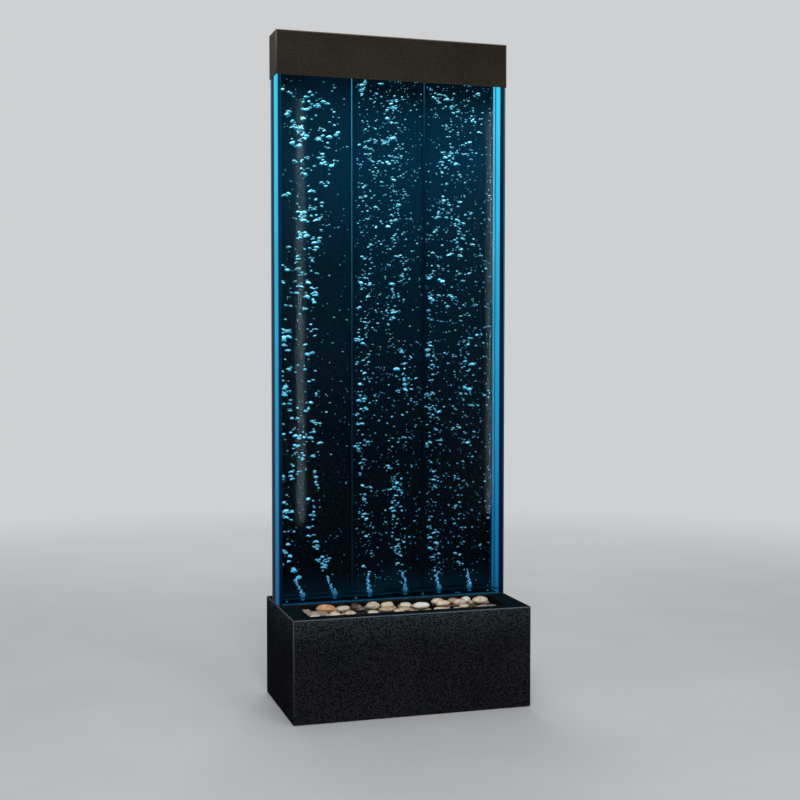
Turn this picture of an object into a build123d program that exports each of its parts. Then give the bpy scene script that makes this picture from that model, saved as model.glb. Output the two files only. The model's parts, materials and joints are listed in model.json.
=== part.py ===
"""Bubble wall panel: a clear water tank on a steel base, lit from under its cap.

All lengths are in millimetres. The origin is on the floor under the centre of the
base, +Z points up and the front faces -Y.
"""
from build123d import *
import os
from math import cos, pi, radians, sin, sqrt

os.makedirs("parts", exist_ok=True)

# Overall sizes
overall_height = 1829.0
base_width = 660.0
base_depth = 356.0
base_height = 275.0

# Shared fits
running_gap = 0.05
easy_gap = 0.5
seat_gap = 0.1
overrun = 5.0

# Cabinet of the base
sheet = 2.0
cabinet_corner = 3.0
cabinet_edge = 1.2
pad_reveal = 3.0
return_flange = 20.0

# Floor plate, pads and floor screws
floor_sheet = 3.0
pad_radius = 16.0
pad_spigot_radius = 3.0
pad_inset = 46.0
screw_radius = 2.0
screw_head_radius = 4.0
screw_head_height = 2.0
screw_length = 8.0
floor_screws_long_side = 4

# Pebble tray in the top of the base
tray_rim = 40.0
tray_side_rim = 52.0
tray_tank_strip = 4.0
tray_depth = 28.0
tray_sheet = 1.5
tray_flange = 8.0

# Tank
tank_from_back = 72.0
tank_from_side = 2.0
tank_depth = 84.0
panel_sheet = 8.0
panel_chamfer = 0.8
side_bar = 14.0
tank_floor_sheet = 12.0
tank_lid_sheet = 6.0
cap_headspace = 40.5
gasket_sheet = 1.5
gasket_inset = 3.0
divider_sheet = 4.0
divider_top_drop = 14.0
divider_notch = 18.0

# Support frame under the tank
frame_tube = 25.0
frame_wall = 1.5
frame_nut_gap = 1.0
front_rail_setback = 8.0

# Air outlets along the tank floor, in shares of half the tank's width
outlet_place_shares = (-0.75, -0.47, -0.16, 0.16, 0.47, 0.75)
outlet_rail_gap = 5.0
outlet_stem_radius = 5.0
outlet_head_radius = 9.0
outlet_head_height = 2.5
outlet_stem_drop = 19.0
outlet_bore_radius = 1.5
outlet_nut_radius = 9.0
outlet_nut_height = 5.0
stone_radius = 6.0
stone_height = 6.0
stone_round = 2.0

# Check valves and riser hoses
valve_radius = 8.0
valve_length = 30.0
valve_socket = 8.0
spigot_radius = 2.5
spigot_length = 8.0
riser_wall = 1.5
riser_length = 18.0

# Air manifold and its taps
manifold_height = 16.0
manifold_end = 16.0
manifold_bore_radius = 3.0
tap_spindle_radius = 3.0
tap_spindle_length = 5.0
tap_knob_radius = 7.0
tap_knob_length = 5.0
tap_grip_width = 3.0
tap_grip_length = 6.0
tap_gap = 0.3

# Air pump
pump_length = 120.0
pump_depth = 84.0
pump_body_height = 46.0
pump_cover_height = 14.0
pump_wall = 2.5
pump_corner = 8.0
pump_from_controller = 60.0
pump_from_rail = 38.0
pump_foot_radius = 7.0
pump_foot_height = 6.0
pump_foot_inset = 14.0
pump_outlet_radius = 3.5
pump_outlet_length = 10.0
pump_outlet_setback = 20.0
hose_wall = 1.5
hose_bend_share = 0.45
coil_length = 34.0
coil_depth = 22.0
coil_height = 26.0
core_arm = 7.0
coil_end_gap = 1.5
armature_width = 6.0
armature_height = 14.0
magnet_length = 16.0
magnet_width = 9.0
pivot_radius = 2.0
pivot_boss = 5.0
armature_pole_gap = 3.0
push_place = 20.0
push_gap = 2.0
diaphragm_radius = 11.0
diaphragm_height = 5.0
diaphragm_chamfer = 2.0
valve_block_depth = 13.0
valve_block_width = 28.0
valve_block_height = 26.0

# LED controller on the base floor
controller_length = 90.0
controller_depth = 60.0
controller_height = 28.0
controller_corner = 4.0
controller_lid = 3.0
controller_from_left = 20.0
controller_from_rail = 58.0
gland_radius = 4.0
gland_length = 5.0

# Flat low-voltage cable up the back of the tank
ribbon_width = 10.0
ribbon_sheet = 1.2
ribbon_from_side = 28.0
ribbon_low_bend = 12.0
ribbon_top_bend = 4.0
ribbon_slot_gap = 1.0

# Connector halves between the tank lid and the cap
connector_width = 25.0
connector_depth = 34.0
connector_from_back = 8.0
socket_height = 14.0
connector_gap = 2.0
contact_radius = 1.5
contact_length = 8.0
contact_pitch = 12.0

# Filler plug in the tank lid
filler_from_side = 38.0
filler_radius = 13.0
filler_head_radius = 17.0
filler_head_height = 4.0
filler_body_drop = 4.0
filler_grip_width = 5.0
filler_grip_height = 9.0
filler_grip_round = 2.0
vent_radius = 3.0

# Cap
cap_sheet = 1.5
cap_cable_gap = 1.3
cap_height = 119.0
cap_corner = 1.4
rest_sheet = 3.0
rest_foot = 10.0
rest_from_front = 24.0
rest_width = 36.0
rest_from_side = 2.0

# LED bar under the cap
bar_from_end = 73.0
bar_width = 24.0
bar_height = 14.0
bar_wall = 1.5
board_inset = 15.0
board_width = 18.0
board_sheet = 1.6
chip_size = 5.0
chip_height = 1.6
chip_count = 34
lens_sheet = 2.5
stud_radius = 1.5
stud_length = 6.0
nut_radius = 3.2
nut_height = 2.4
lead_width = 4.0
lead_sheet = 1.0

# Service opening and panel in the back of the base
service_from_side = 50.0
service_low = 60.0
service_from_top = 45.0
service_tab = 24.0
bay_width = 140.0
bay_low = 96.0
bay_height = 72.0
bay_depth = 36.0
bay_sheet = 1.5
vent_slot_width = 60.0
vent_slot_height = 5.0
vent_slot_pitch = 14.0
vent_slot_count = 6
vent_slot_from_side = 110.0

# Fittings in the connection bay
fitting_from_bay_low = 34.0
inlet_from_bay_left = 22.0
inlet_radius = 5.5
inlet_flange_radius = 8.0
inlet_flange = 2.0
inlet_body = 14.0
inlet_bore_radius = 2.8
inlet_bore_depth = 9.5
inlet_pin_radius = 1.0
switch_from_inlet = 31.0
switch_width = 15.0
switch_height = 21.0
switch_flange = 2.0
switch_body = 16.0
switch_lip = 2.4
rocker_radius = 7.6
rocker_swing = 10.0
rocker_gap = 0.4
rocker_pin_radius = 1.5
drain_place_share = 0.625
drain_rail_gap = 2.0
drain_from_bay_right = 47.0
drain_radius = 8.0
drain_bore_radius = 5.0
drain_tail = 11.0
drain_block = 24.0
drain_block_depth = 14.0
drain_block_chamfer = 2.0
spout_radius = 6.35
spout_length = 18.0
lever_stem_radius = 3.0
lever_stem_depth = 6.0
lever_hub_radius = 6.0
lever_sheet = 4.0
lever_length = 28.0
lever_width = 8.0

# Bolts that hold the tank down, in shares of half the tank's width
bolt_place_shares = (-0.9, -0.3, 0.3, 0.9)
bolt_radius = 3.0
bolt_head_radius = 5.0
bolt_head_height = 5.0
bolt_bite = 8.0

# Pebbles: rows of stones, then stones lying on them
stone_columns = 12
stone_rows = 3
stone_long = 21.0
stone_wide = 17.0
stone_thick = 10.5
stone_gap = 0.15
stone_steps = 14
# How much the stones of the rows vary: least and added size, and shift, as shares
stone_size_shares = (0.94, 0.06)
stone_width_shares = (0.93, 0.07)
stone_thickness_shares = (0.88, 0.12)
stone_shift_share = 0.2
stone_turn_share = 0.13
# Phase steps from one stone to the next, as shares of a half turn
stone_phase_shares = (0.76, 0.54, 0.99, 0.41, 1.31, 0.92)
# Stones of the top layer: place along and across the tray, length, width, thickness, turn and
# tip, as shares
top_stone_shares = (
    (0.078, 0.58, 1.30, 0.95, 1.10, -0.10, 0.02),
    (0.182, 0.62, 1.02, 0.90, 0.95, 0.08, -0.02),
    (0.268, 0.82, 0.85, 0.85, 1.10, -0.06, 0.02),
    (0.359, 0.81, 0.98, 0.95, 1.20, 0.04, 0.03),
    (0.437, 0.80, 0.93, 0.90, 1.20, 0.02, -0.03),
    (0.537, 0.77, 0.88, 0.85, 0.95, -0.05, 0.03),
    (0.624, 0.77, 1.12, 0.90, 1.15, -0.03, 0.02),
    (0.723, 0.82, 0.98, 0.90, 0.95, 0.04, -0.02),
    (0.810, 0.84, 0.80, 0.80, 0.90, 0.03, 0.02),
    (0.879, 0.81, 0.75, 0.80, 0.95, 0.02, 0.02),
    (0.961, 0.66, 1.18, 1.00, 1.00, 0.03, 0.02),
    (0.000, 0.27, 1.45, 1.05, 0.75, -0.03, 0.02),
    (0.272, 0.47, 0.88, 0.80, 0.80, 0.10, 0.03),
    (0.405, 0.39, 1.20, 0.85, 0.80, 0.03, -0.02),
    (0.506, 0.39, 0.78, 0.80, 0.75, -0.04, 0.02),
    (0.601, 0.41, 1.15, 0.85, 0.95, -0.04, 0.02),
    (0.726, 0.45, 1.10, 0.85, 0.90, 0.05, -0.03),
    (0.821, 0.45, 1.02, 0.85, 1.00, 0.03, 0.03),
    (0.967, 0.21, 1.50, 0.95, 0.80, 0.02, 0.01),
    (0.003, 0.00, 0.75, 0.65, 0.65, 0.08, 0.00),
    (0.118, 0.19, 0.80, 0.75, 0.80, 0.10, 0.02),
    (0.194, 0.16, 0.85, 0.80, 0.80, 0.05, 0.02),
    (0.317, 0.16, 0.75, 0.80, 0.80, -0.06, 0.02),
    (0.448, 0.05, 0.80, 0.75, 0.70, 0.05, 0.02),
    (0.676, 0.09, 0.90, 0.80, 0.75, -0.05, 0.02),
    (0.793, 0.00, 0.70, 0.70, 0.60, 0.05, 0.02),
)

# Heights and places that follow from the sizes above
cabinet_low = pad_reveal
top_under = base_height - sheet
floor_low = cabinet_low + sheet
floor_high = floor_low + floor_sheet
front_face = -base_depth / 2
back_face = base_depth / 2
tank_back = back_face - tank_from_back
tank_front = tank_back - tank_depth
inner_front = tank_front + panel_sheet
inner_back = tank_back - panel_sheet
tank_half = base_width / 2 - tank_from_side
inner_half = tank_half - side_bar
tank_low = base_height + gasket_sheet
tank_floor_top = tank_low + tank_floor_sheet
cap_ceiling = overall_height - cap_sheet
lid_top = cap_ceiling - cap_headspace
lid_low = lid_top - tank_lid_sheet
cap_front = tank_front - easy_gap - cap_sheet
cap_back = tank_back + ribbon_sheet + cap_cable_gap + cap_sheet
cap_low = overall_height - cap_height
tray_front = front_face + tray_rim
tray_back = tank_front - tray_tank_strip
tray_floor = base_height - tray_depth
tray_half = base_width / 2 - tray_side_rim
divider_place = (2 * inner_half - 2 * divider_sheet) / 6 + divider_sheet / 2
front_rail = tank_front + front_rail_setback
outlet_line = inner_back - outlet_rail_gap - outlet_nut_radius
outlet_places = [share * tank_half for share in outlet_place_shares]
frame_reach = max(outlet_places) + outlet_nut_radius + frame_nut_gap + frame_tube
drain_line = front_rail + frame_tube + drain_rail_gap + drain_radius
drain_place = drain_place_share * tank_half
bar_line = (tank_front + tank_back) / 2
bar_half_length = tank_half - bar_from_end
service_half_width = base_width / 2 - service_from_side
service_high = base_height - service_from_top
bay_right = drain_place + drain_from_bay_right
bay_left = bay_right - bay_width
bay_high = bay_low + bay_height
vent_slot_place = vent_slot_from_side - service_half_width
fitting_height = bay_low + fitting_from_bay_low
inlet_place = bay_left + inlet_from_bay_left
switch_place = inlet_place + switch_from_inlet


def block(x_low, x_high, y_low, y_high, z_low, z_high):
    """A box between two opposite corners."""
    middle = Pos((x_low + x_high) / 2, (y_low + y_high) / 2, (z_low + z_high) / 2)
    return middle * Box(x_high - x_low, y_high - y_low, z_high - z_low)


def post(radius, x, y, z_low, z_high):
    """An upright cylinder."""
    return Pos(x, y, (z_low + z_high) / 2) * Cylinder(radius, z_high - z_low)


def hole(radius, x, y, z_low, z_high):
    """An upright cutter that runs past both ends."""
    return post(radius, x, y, z_low - overrun, z_high + overrun)


def pin_back(radius, x, z, y_low, y_high):
    """A cylinder that lies along Y."""
    turned = Rot(90, 0, 0) * Cylinder(radius, y_high - y_low)
    return Pos(x, (y_low + y_high) / 2, z) * turned


def pin_side(radius, y, z, x_low, x_high):
    """A cylinder that lies along X."""
    turned = Rot(0, 90, 0) * Cylinder(radius, x_high - x_low)
    return Pos((x_low + x_high) / 2, y, z) * turned


def hexagon(radius, x, y, z_low, z_high):
    """An upright hexagonal nut blank."""
    outline = RegularPolygon(radius, 6)
    return Pos(x, y, z_low) * extrude(outline, z_high - z_low)


def upright_edges(shape):
    return shape.edges().filter_by(Axis.Z)


def group(pieces):
    """Separate solids that share one node."""
    return Compound(children=[piece for piece in pieces])


def floor_screw_places():
    """Places of the floor screws, in the middle of the cabinet's return flanges."""
    along = base_width / 2 - sheet - return_flange / 2
    across = base_depth / 2 - sheet - return_flange / 2
    places = []
    for index in range(floor_screws_long_side):
        share = (index + 0.5) / floor_screws_long_side * 2 - 1
        places += [(share * along, -across), (share * along, across)]
    return places + [(-along, 0), (along, 0)]


def service_screw_places():
    """Places of the service panel's screws, on the cabinet's tabs."""
    low = service_low + service_tab / 2
    high = service_high - service_tab / 2
    side = service_half_width - service_tab / 2
    return [(x, z) for x in (-side, 0, side) for z in (low, high)]


def tab_span(place, edge_low, edge_high):
    """A tab's span about its screw, lapping behind the opening's edge where it lies by one."""
    reach = service_tab / 2
    low = edge_low - reach if place < edge_low + service_tab else place - reach
    high = edge_high + reach if place > edge_high - service_tab else place + reach
    return low, high


def base_cabinet():
    half_x, half_y = base_width / 2, base_depth / 2
    shell = block(-half_x, half_x, -half_y, half_y, cabinet_low, base_height)
    shell = fillet(upright_edges(shell), cabinet_corner)
    shell = fillet(shell.faces().sort_by(Axis.Z)[-1].edges(), cabinet_edge)
    shell -= block(
        sheet - half_x, half_x - sheet, sheet - half_y, half_y - sheet, floor_low, top_under
    )
    mouth_x, mouth_y = half_x - sheet - return_flange, half_y - sheet - return_flange
    shell -= block(-mouth_x, mouth_x, -mouth_y, mouth_y, cabinet_low - overrun, floor_low)
    shell -= block(
        -tray_half, tray_half, tray_front, tray_back, top_under - overrun, base_height + overrun
    )
    shell -= block(
        -service_half_width, service_half_width,
        back_face - sheet - overrun, back_face + overrun, service_low, service_high,
    )
    for x, z in service_screw_places():
        tab_y = back_face - sheet
        left, right = tab_span(x, -service_half_width, service_half_width)
        low, high = tab_span(z, service_low, service_high)
        shell += block(left, right, tab_y - sheet, tab_y, low, high)
        shell -= pin_back(
            screw_radius + running_gap, x, z, tab_y - sheet - overrun, tab_y + overrun
        )
    for x, y in floor_screw_places():
        shell -= post(screw_radius + seat_gap, x, y, cabinet_low - overrun, floor_low + overrun / 2)
    for x in outlet_places:
        shell -= hole(outlet_stem_radius + easy_gap, x, outlet_line, top_under, base_height)
    shell -= hole(drain_radius + easy_gap, drain_place, drain_line, top_under, base_height)
    for share in bolt_place_shares:
        shell -= hole(bolt_radius + seat_gap, share * tank_half, drain_line, top_under, base_height)
    slot_x = ribbon_from_side - tank_half
    slot_half = ribbon_width / 2 + ribbon_slot_gap
    shell -= block(
        slot_x - slot_half, slot_x + slot_half,
        tank_back - ribbon_slot_gap / 2, tank_back + ribbon_sheet + ribbon_slot_gap,
        top_under - overrun, base_height + overrun,
    )
    return shell


def base_floor():
    half_x = base_width / 2 - sheet - easy_gap
    half_y = base_depth / 2 - sheet - easy_gap
    plate = block(-half_x, half_x, -half_y, half_y, floor_low, floor_high)
    for x, y in floor_screw_places():
        plate -= hole(screw_radius + running_gap, x, y, floor_low, floor_high)
    for x, y in pad_places():
        plate -= hole(pad_spigot_radius + running_gap, x, y, floor_low, floor_high)
    return plate


def pad_places():
    x, y = base_width / 2 - pad_inset, base_depth / 2 - pad_inset
    return [(-x, -y), (x, -y), (-x, y), (x, y)]


def foot_pads():
    pads = []
    for x, y in pad_places():
        pads.append(post(pad_radius, x, y, 0, floor_low) + post(pad_spigot_radius, x, y, 0, floor_high))
    return group(pads)


def floor_screws():
    screws = []
    for x, y in floor_screw_places():
        head = post(screw_head_radius, x, y, cabinet_low - screw_head_height, cabinet_low)
        screws.append(head + post(screw_radius, x, y, cabinet_low, cabinet_low + screw_length))
    return group(screws)


def tank_frame():
    """Welded square tubes that carry the tank from the base floor."""
    rail_low = top_under - frame_tube
    rear_rail = inner_back
    tubes = []
    bores = []
    wall = frame_wall
    for rail in (front_rail, rear_rail):
        tubes.append(block(-frame_reach, frame_reach, rail, rail + frame_tube, rail_low, top_under))
        bores.append(block(
            -frame_reach - overrun, frame_reach + overrun,
            rail + wall, rail + frame_tube - wall, rail_low + wall, top_under - wall,
        ))
        for left in (-frame_reach, frame_reach - frame_tube):
            right = left + frame_tube
            tubes.append(block(left, right, rail, rail + frame_tube, floor_high, rail_low + wall))
            bores.append(block(
                left + wall, right - wall, rail + wall, rail + frame_tube - wall,
                floor_high - overrun, rail_low,
            ))
    for left in (-frame_reach, frame_reach - frame_tube):
        right = left + frame_tube
        middle = (front_rail + rear_rail + frame_tube) / 2
        reach = (rear_rail - front_rail) / 2
        tubes.append(block(left, right, middle - reach, middle + reach, rail_low, top_under))
        bores.append(block(
            left + wall, right - wall, middle - reach, middle + reach,
            rail_low + wall, top_under - wall,
        ))
    welded = tubes[0].fuse(*tubes[1:])
    return welded.cut(*bores)


def tank_gasket():
    half = tank_half - gasket_inset
    strip = block(
        -half, half, tank_front + gasket_inset, tank_back - gasket_inset, base_height, tank_low
    )
    for x in outlet_places:
        strip -= hole(outlet_stem_radius + easy_gap, x, outlet_line, base_height, tank_low)
    strip -= hole(drain_radius + easy_gap, drain_place, drain_line, base_height, tank_low)
    for share in bolt_place_shares:
        strip -= hole(bolt_radius + easy_gap, share * tank_half, drain_line, base_height, tank_low)
    return strip


def tank_floor():
    plate = block(-inner_half, inner_half, inner_front, inner_back, tank_low, tank_floor_top)
    for x in outlet_places:
        plate -= hole(outlet_stem_radius + running_gap, x, outlet_line, tank_low, tank_floor_top)
    plate -= hole(drain_radius + running_gap, drain_place, drain_line, tank_low, tank_floor_top)
    for share in bolt_place_shares:
        plate -= post(
            bolt_radius + running_gap, share * tank_half, drain_line, tank_low - overrun, tank_low + bolt_bite
        )
    return plate


def tank_bolts():
    bolts = []
    for share in bolt_place_shares:
        x = share * tank_half
        head = hexagon(bolt_head_radius, x, drain_line, top_under - bolt_head_height, top_under)
        shank = post(bolt_radius, x, drain_line, top_under, tank_low + bolt_bite - seat_gap)
        bolts.append(head + shank)
    return group(bolts)


def tank_panel(y_low, y_high, outer):
    """A front or back sheet, with its outer upright edges chamfered: 0 in front, -1 behind."""
    panel = block(-tank_half, tank_half, y_low, y_high, tank_low, lid_low)
    return chamfer(upright_edges(panel).group_by(Axis.Y)[outer], panel_chamfer)


def tank_side(sign):
    low, high = sorted((sign * inner_half, sign * tank_half))
    return block(low, high, inner_front, inner_back, tank_low, lid_low)


def divider(sign):
    """A partition that ties the front and back sheets, notched to let the water through."""
    low = sign * divider_place - divider_sheet / 2
    high = low + divider_sheet
    top = lid_low - divider_top_drop
    wall = block(low, high, inner_front, inner_back, tank_floor_top, top)
    wall -= block(
        low - overrun, high + overrun, inner_front - overrun, inner_front + divider_notch,
        tank_floor_top - overrun, tank_floor_top + divider_notch,
    )
    return wall


def tank_lid():
    lid = block(-tank_half, tank_half, tank_front, tank_back, lid_low, lid_top)
    lid -= hole(filler_radius, tank_half - filler_from_side, bar_line, lid_low, lid_top)
    chamber = 2 * divider_place
    for index in (-1, 0, 1):
        lid -= hole(vent_radius, index * chamber, bar_line, lid_low, lid_top)
    return lid


def filler_plug():
    x = tank_half - filler_from_side
    body = post(filler_radius - running_gap, x, bar_line, lid_low - filler_body_drop, lid_top)
    head = post(filler_head_radius, x, bar_line, lid_top, lid_top + filler_head_height)
    grip_low = lid_top + filler_head_height
    grip = block(
        x - filler_radius, x + filler_radius,
        bar_line - filler_grip_width / 2, bar_line + filler_grip_width / 2,
        grip_low, grip_low + filler_grip_height,
    )
    grip = fillet(grip.faces().sort_by(Axis.Z)[-1].edges(), filler_grip_round)
    return body + head + grip


def air_outlets():
    nozzles = []
    for x in outlet_places:
        stem = post(outlet_stem_radius, x, outlet_line, top_under - outlet_stem_drop, tank_floor_top)
        head = post(
            outlet_head_radius, x, outlet_line, tank_floor_top, tank_floor_top + outlet_head_height
        )
        bore = hole(
            outlet_bore_radius, x, outlet_line,
            top_under - outlet_stem_drop, tank_floor_top + outlet_head_height,
        )
        nozzles.append(stem + head - bore)
    return group(nozzles)


def outlet_nuts():
    nuts = []
    for x in outlet_places:
        nut = hexagon(outlet_nut_radius, x, outlet_line, top_under - outlet_nut_height, top_under)
        nut -= hole(
            outlet_stem_radius + running_gap, x, outlet_line, top_under - outlet_nut_height, top_under
        )
        nuts.append(nut)
    return group(nuts)


def air_stones():
    low = tank_floor_top + outlet_head_height
    stones = []
    for x in outlet_places:
        stone = post(stone_radius, x, outlet_line, low, low + stone_height)
        stones.append(fillet(stone.edges().sort_by(Axis.Z)[-1], stone_round))
    return group(stones)


valve_high = top_under - outlet_stem_drop + valve_socket
valve_low = valve_high - valve_length


def check_valves():
    valves = []
    for x in outlet_places:
        body = post(valve_radius, x, outlet_line, valve_low, valve_high)
        body -= post(
            outlet_stem_radius + running_gap, x, outlet_line,
            valve_high - valve_socket, valve_high + overrun,
        )
        body += post(spigot_radius, x, outlet_line, valve_low - spigot_length, valve_low)
        bore = post(
            outlet_bore_radius, x, outlet_line, valve_low - spigot_length - overrun, valve_high
        )
        valves.append(body - bore)
    return group(valves)


riser_low = valve_low - riser_length
manifold_top = riser_low
manifold_low = manifold_top - manifold_height
manifold_axis = (manifold_top + manifold_low) / 2
manifold_front = outlet_line - manifold_height / 2
manifold_back = outlet_line + manifold_height / 2


def riser_hoses():
    hoses = []
    bore_radius = spigot_radius + running_gap
    for x in outlet_places:
        hose = post(bore_radius + riser_wall, x, outlet_line, riser_low, valve_low)
        hose -= hole(bore_radius, x, outlet_line, riser_low, valve_low)
        hoses.append(hose)
    return group(hoses)


controller_left = controller_from_left - base_width / 2
controller_right = controller_left + controller_length
controller_back = front_rail - controller_from_rail
controller_front = controller_back - controller_depth
pump_left = controller_right + pump_from_controller
pump_right = pump_left + pump_length
pump_x = (pump_left + pump_right) / 2
pump_back = front_rail - pump_from_rail
pump_front = pump_back - pump_depth


def air_manifold():
    """A bar with one bore along it, six spigots on top and six tap holes behind."""
    half = max(outlet_places) + manifold_end
    bar = block(-half, half, manifold_front, manifold_back, manifold_low, manifold_top)
    for x in outlet_places:
        bar += post(spigot_radius, x, outlet_line, manifold_top, manifold_top + spigot_length)
    bar += pin_back(
        pump_outlet_radius, pump_x, manifold_axis,
        manifold_front - pump_outlet_length, manifold_front,
    )
    bar -= pin_side(
        manifold_bore_radius, outlet_line, manifold_axis,
        manifold_bore_radius - half, half - manifold_bore_radius,
    )
    for x in outlet_places:
        spigot_high = manifold_top + spigot_length
        bar -= post(outlet_bore_radius, x, outlet_line, manifold_axis, spigot_high + overrun)
        bar -= pin_back(
            tap_spindle_radius + running_gap, x, manifold_axis,
            manifold_back - tap_spindle_length, manifold_back + overrun,
        )
    bar -= pin_back(
        outlet_bore_radius, pump_x, manifold_axis,
        manifold_front - pump_outlet_length - overrun, outlet_line,
    )
    return bar


def air_tap(x):
    knob_low = manifold_back + tap_gap
    knob_high = knob_low + tap_knob_length
    spindle = pin_back(
        tap_spindle_radius, x, manifold_axis, manifold_back - tap_spindle_length + tap_gap, knob_low
    )
    knob = pin_back(tap_knob_radius, x, manifold_axis, knob_low, knob_high)
    grip = block(
        x - tap_knob_radius, x + tap_knob_radius, knob_high, knob_high + tap_grip_length,
        manifold_axis - tap_grip_width / 2, manifold_axis + tap_grip_width / 2,
    )
    return spindle + knob + grip


pump_low = floor_high + pump_foot_height
pump_seam = pump_low + pump_body_height
pump_high = pump_seam + pump_cover_height
pump_inside = pump_low + pump_wall
pump_axis = pump_inside + coil_height / 2
pivot_x = pump_left + pump_wall + armature_width + easy_gap
pivot_y = (pump_front + pump_back) / 2


def pump_housing():
    tub = block(pump_left, pump_right, pump_front, pump_back, pump_low, pump_seam)
    tub = fillet(upright_edges(tub), pump_corner)
    tub -= block(
        pump_left + pump_wall, pump_right - pump_wall,
        pump_front + pump_wall, pump_back - pump_wall, pump_inside, pump_seam + overrun,
    )
    pillar_top = pump_axis - armature_height / 2 - tap_gap
    tub += post(pivot_boss, pivot_x, pivot_y, pump_inside, pillar_top)
    tub += post(pivot_radius, pivot_x, pivot_y, pillar_top, pump_axis + armature_height / 2)
    return tub


def pump_cover():
    lid = block(pump_left, pump_right, pump_front, pump_back, pump_seam, pump_high)
    lid = fillet(upright_edges(lid), pump_corner)
    lid = fillet(lid.faces().sort_by(Axis.Z)[-1].edges(), pump_wall)
    lid -= block(
        pump_left + pump_wall, pump_right - pump_wall,
        pump_front + pump_wall, pump_back - pump_wall, pump_seam - overrun, pump_high - pump_wall,
    )
    spigot_y = pump_back - pump_outlet_setback
    low, high = pump_high - pump_wall, pump_high + pump_outlet_length
    lid += post(pump_outlet_radius, pump_x, spigot_y, low, high)
    return lid - hole(outlet_bore_radius, pump_x, spigot_y, low, high)


def pump_feet():
    feet = []
    for x in (pump_left + pump_foot_inset, pump_right - pump_foot_inset):
        for y in (pump_front + pump_foot_inset, pump_back - pump_foot_inset):
            feet.append(post(pump_foot_radius, x, y, floor_high, pump_low))
    return group(feet)


coil_right = pump_right - pump_wall - coil_end_gap
coil_left = coil_right - coil_length
armature_tip = coil_left - armature_pole_gap


def pump_coil():
    """An E-shaped iron core with its bobbin, facing the armature's magnet."""
    half = coil_depth / 2 + core_arm
    core = block(
        coil_left, coil_right, pivot_y - half, pivot_y + half, pump_inside, pump_inside + coil_height
    )
    for side in (-1, 1):
        low, high = sorted((side * core_arm / 2, side * (half - core_arm)))
        slot = block(
            coil_left - overrun, coil_right - core_arm, pivot_y + low, pivot_y + high,
            pump_inside - overrun, pump_inside + coil_height + overrun,
        )
        core -= slot
    bobbin = block(
        coil_left + core_arm, coil_right - core_arm, pivot_y - half + core_arm, pivot_y + half - core_arm,
        pump_inside, pump_inside + coil_height,
    )
    return core + bobbin


def pump_armature():
    """A lever on the pivot pin, with a magnet at its tip and a push pad near its root."""
    low = pump_axis - armature_height / 2
    high = pump_axis + armature_height / 2
    half = armature_width / 2
    arm = block(pivot_x, armature_tip, pivot_y - half, pivot_y + half, low, high)
    arm += block(
        armature_tip - magnet_length, armature_tip,
        pivot_y - magnet_width / 2, pivot_y + magnet_width / 2, low, high,
    )
    arm += post(armature_width, pivot_x, pivot_y, low, high)
    arm -= hole(pivot_radius + running_gap, pivot_x, pivot_y, low, high)
    return arm


diaphragm_face = pivot_y + armature_width / 2 + push_gap
diaphragm_x = pivot_x + push_place


def pump_diaphragm():
    """A round rubber bellows between the armature and the valve block."""
    back = diaphragm_face + diaphragm_height
    wide = pin_back(diaphragm_radius, diaphragm_x, pump_axis, diaphragm_face, back)
    return chamfer(wide.edges().sort_by(Axis.Y)[0], diaphragm_chamfer)


def pump_valve_block():
    back = diaphragm_face + diaphragm_height
    half = valve_block_width / 2
    body = block(
        diaphragm_x - half, diaphragm_x + half, back, back + valve_block_depth,
        pump_inside, pump_inside + valve_block_height,
    )
    return body - pin_back(
        diaphragm_radius - diaphragm_chamfer, diaphragm_x, pump_axis,
        back - overrun, back + diaphragm_chamfer,
    )


def air_hose():
    """A hose that rises from the pump and turns back into the manifold."""
    start = Vector(pump_x, pump_back - pump_outlet_setback, pump_high)
    corner = Vector(start.X, start.Y, manifold_axis)
    finish = Vector(start.X, manifold_front, manifold_axis)
    bend = hose_bend_share * min((corner - start).length, (finish - corner).length)
    route = FilletPolyline(start, corner, finish, radius=bend)
    bore_radius = pump_outlet_radius + running_gap
    section = Plane(origin=start, z_dir=(0, 0, 1))
    ring = Circle(bore_radius + hose_wall) - Circle(bore_radius)
    print("hose bend radius", round(bend, 1))
    return sweep(section * ring, path=route)


def led_controller():
    case = block(
        controller_left, controller_right, controller_front, controller_back,
        floor_high, floor_high + controller_height,
    )
    case = fillet(upright_edges(case), controller_corner)
    middle = floor_high + controller_height / 2
    gland_x = (controller_left + 2 * controller_right) / 3
    return case + pin_back(gland_radius, gland_x, middle, controller_back, controller_back + gland_length)


def controller_cover():
    low = floor_high + controller_height
    lid = block(
        controller_left, controller_right, controller_front, controller_back, low, low + controller_lid
    )
    lid = fillet(upright_edges(lid), controller_corner)
    return fillet(lid.faces().sort_by(Axis.Z)[-1].edges(), controller_lid / 2)


def led_cable():
    """A flat ribbon from the controller, up the back of the tank and over its lid."""
    line = tank_back + ribbon_sheet / 2
    start_z = floor_high + controller_height / 2
    finish_z = lid_top + socket_height / 2
    socket_back = tank_back - connector_from_back
    points = [
        (controller_back, start_z), (line, start_z), (line, finish_z), (socket_back, finish_z),
    ]
    route = FilletPolyline(*points, radius=[ribbon_low_bend, ribbon_top_bend])
    ribbon = extrude(Plane.YZ * trace(route, ribbon_sheet), ribbon_width / 2, both=True)
    return Pos(ribbon_from_side - tank_half, 0, 0) * ribbon


connector_x = ribbon_from_side - tank_half + ribbon_width / 2
connector_left = connector_x - connector_width / 2
connector_right = connector_x + connector_width / 2
connector_back = tank_back - connector_from_back
connector_front = connector_back - connector_depth
contact_places = [
    connector_back - connector_depth / 2 - contact_pitch / 2,
    connector_back - connector_depth / 2 + contact_pitch / 2,
]


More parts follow.
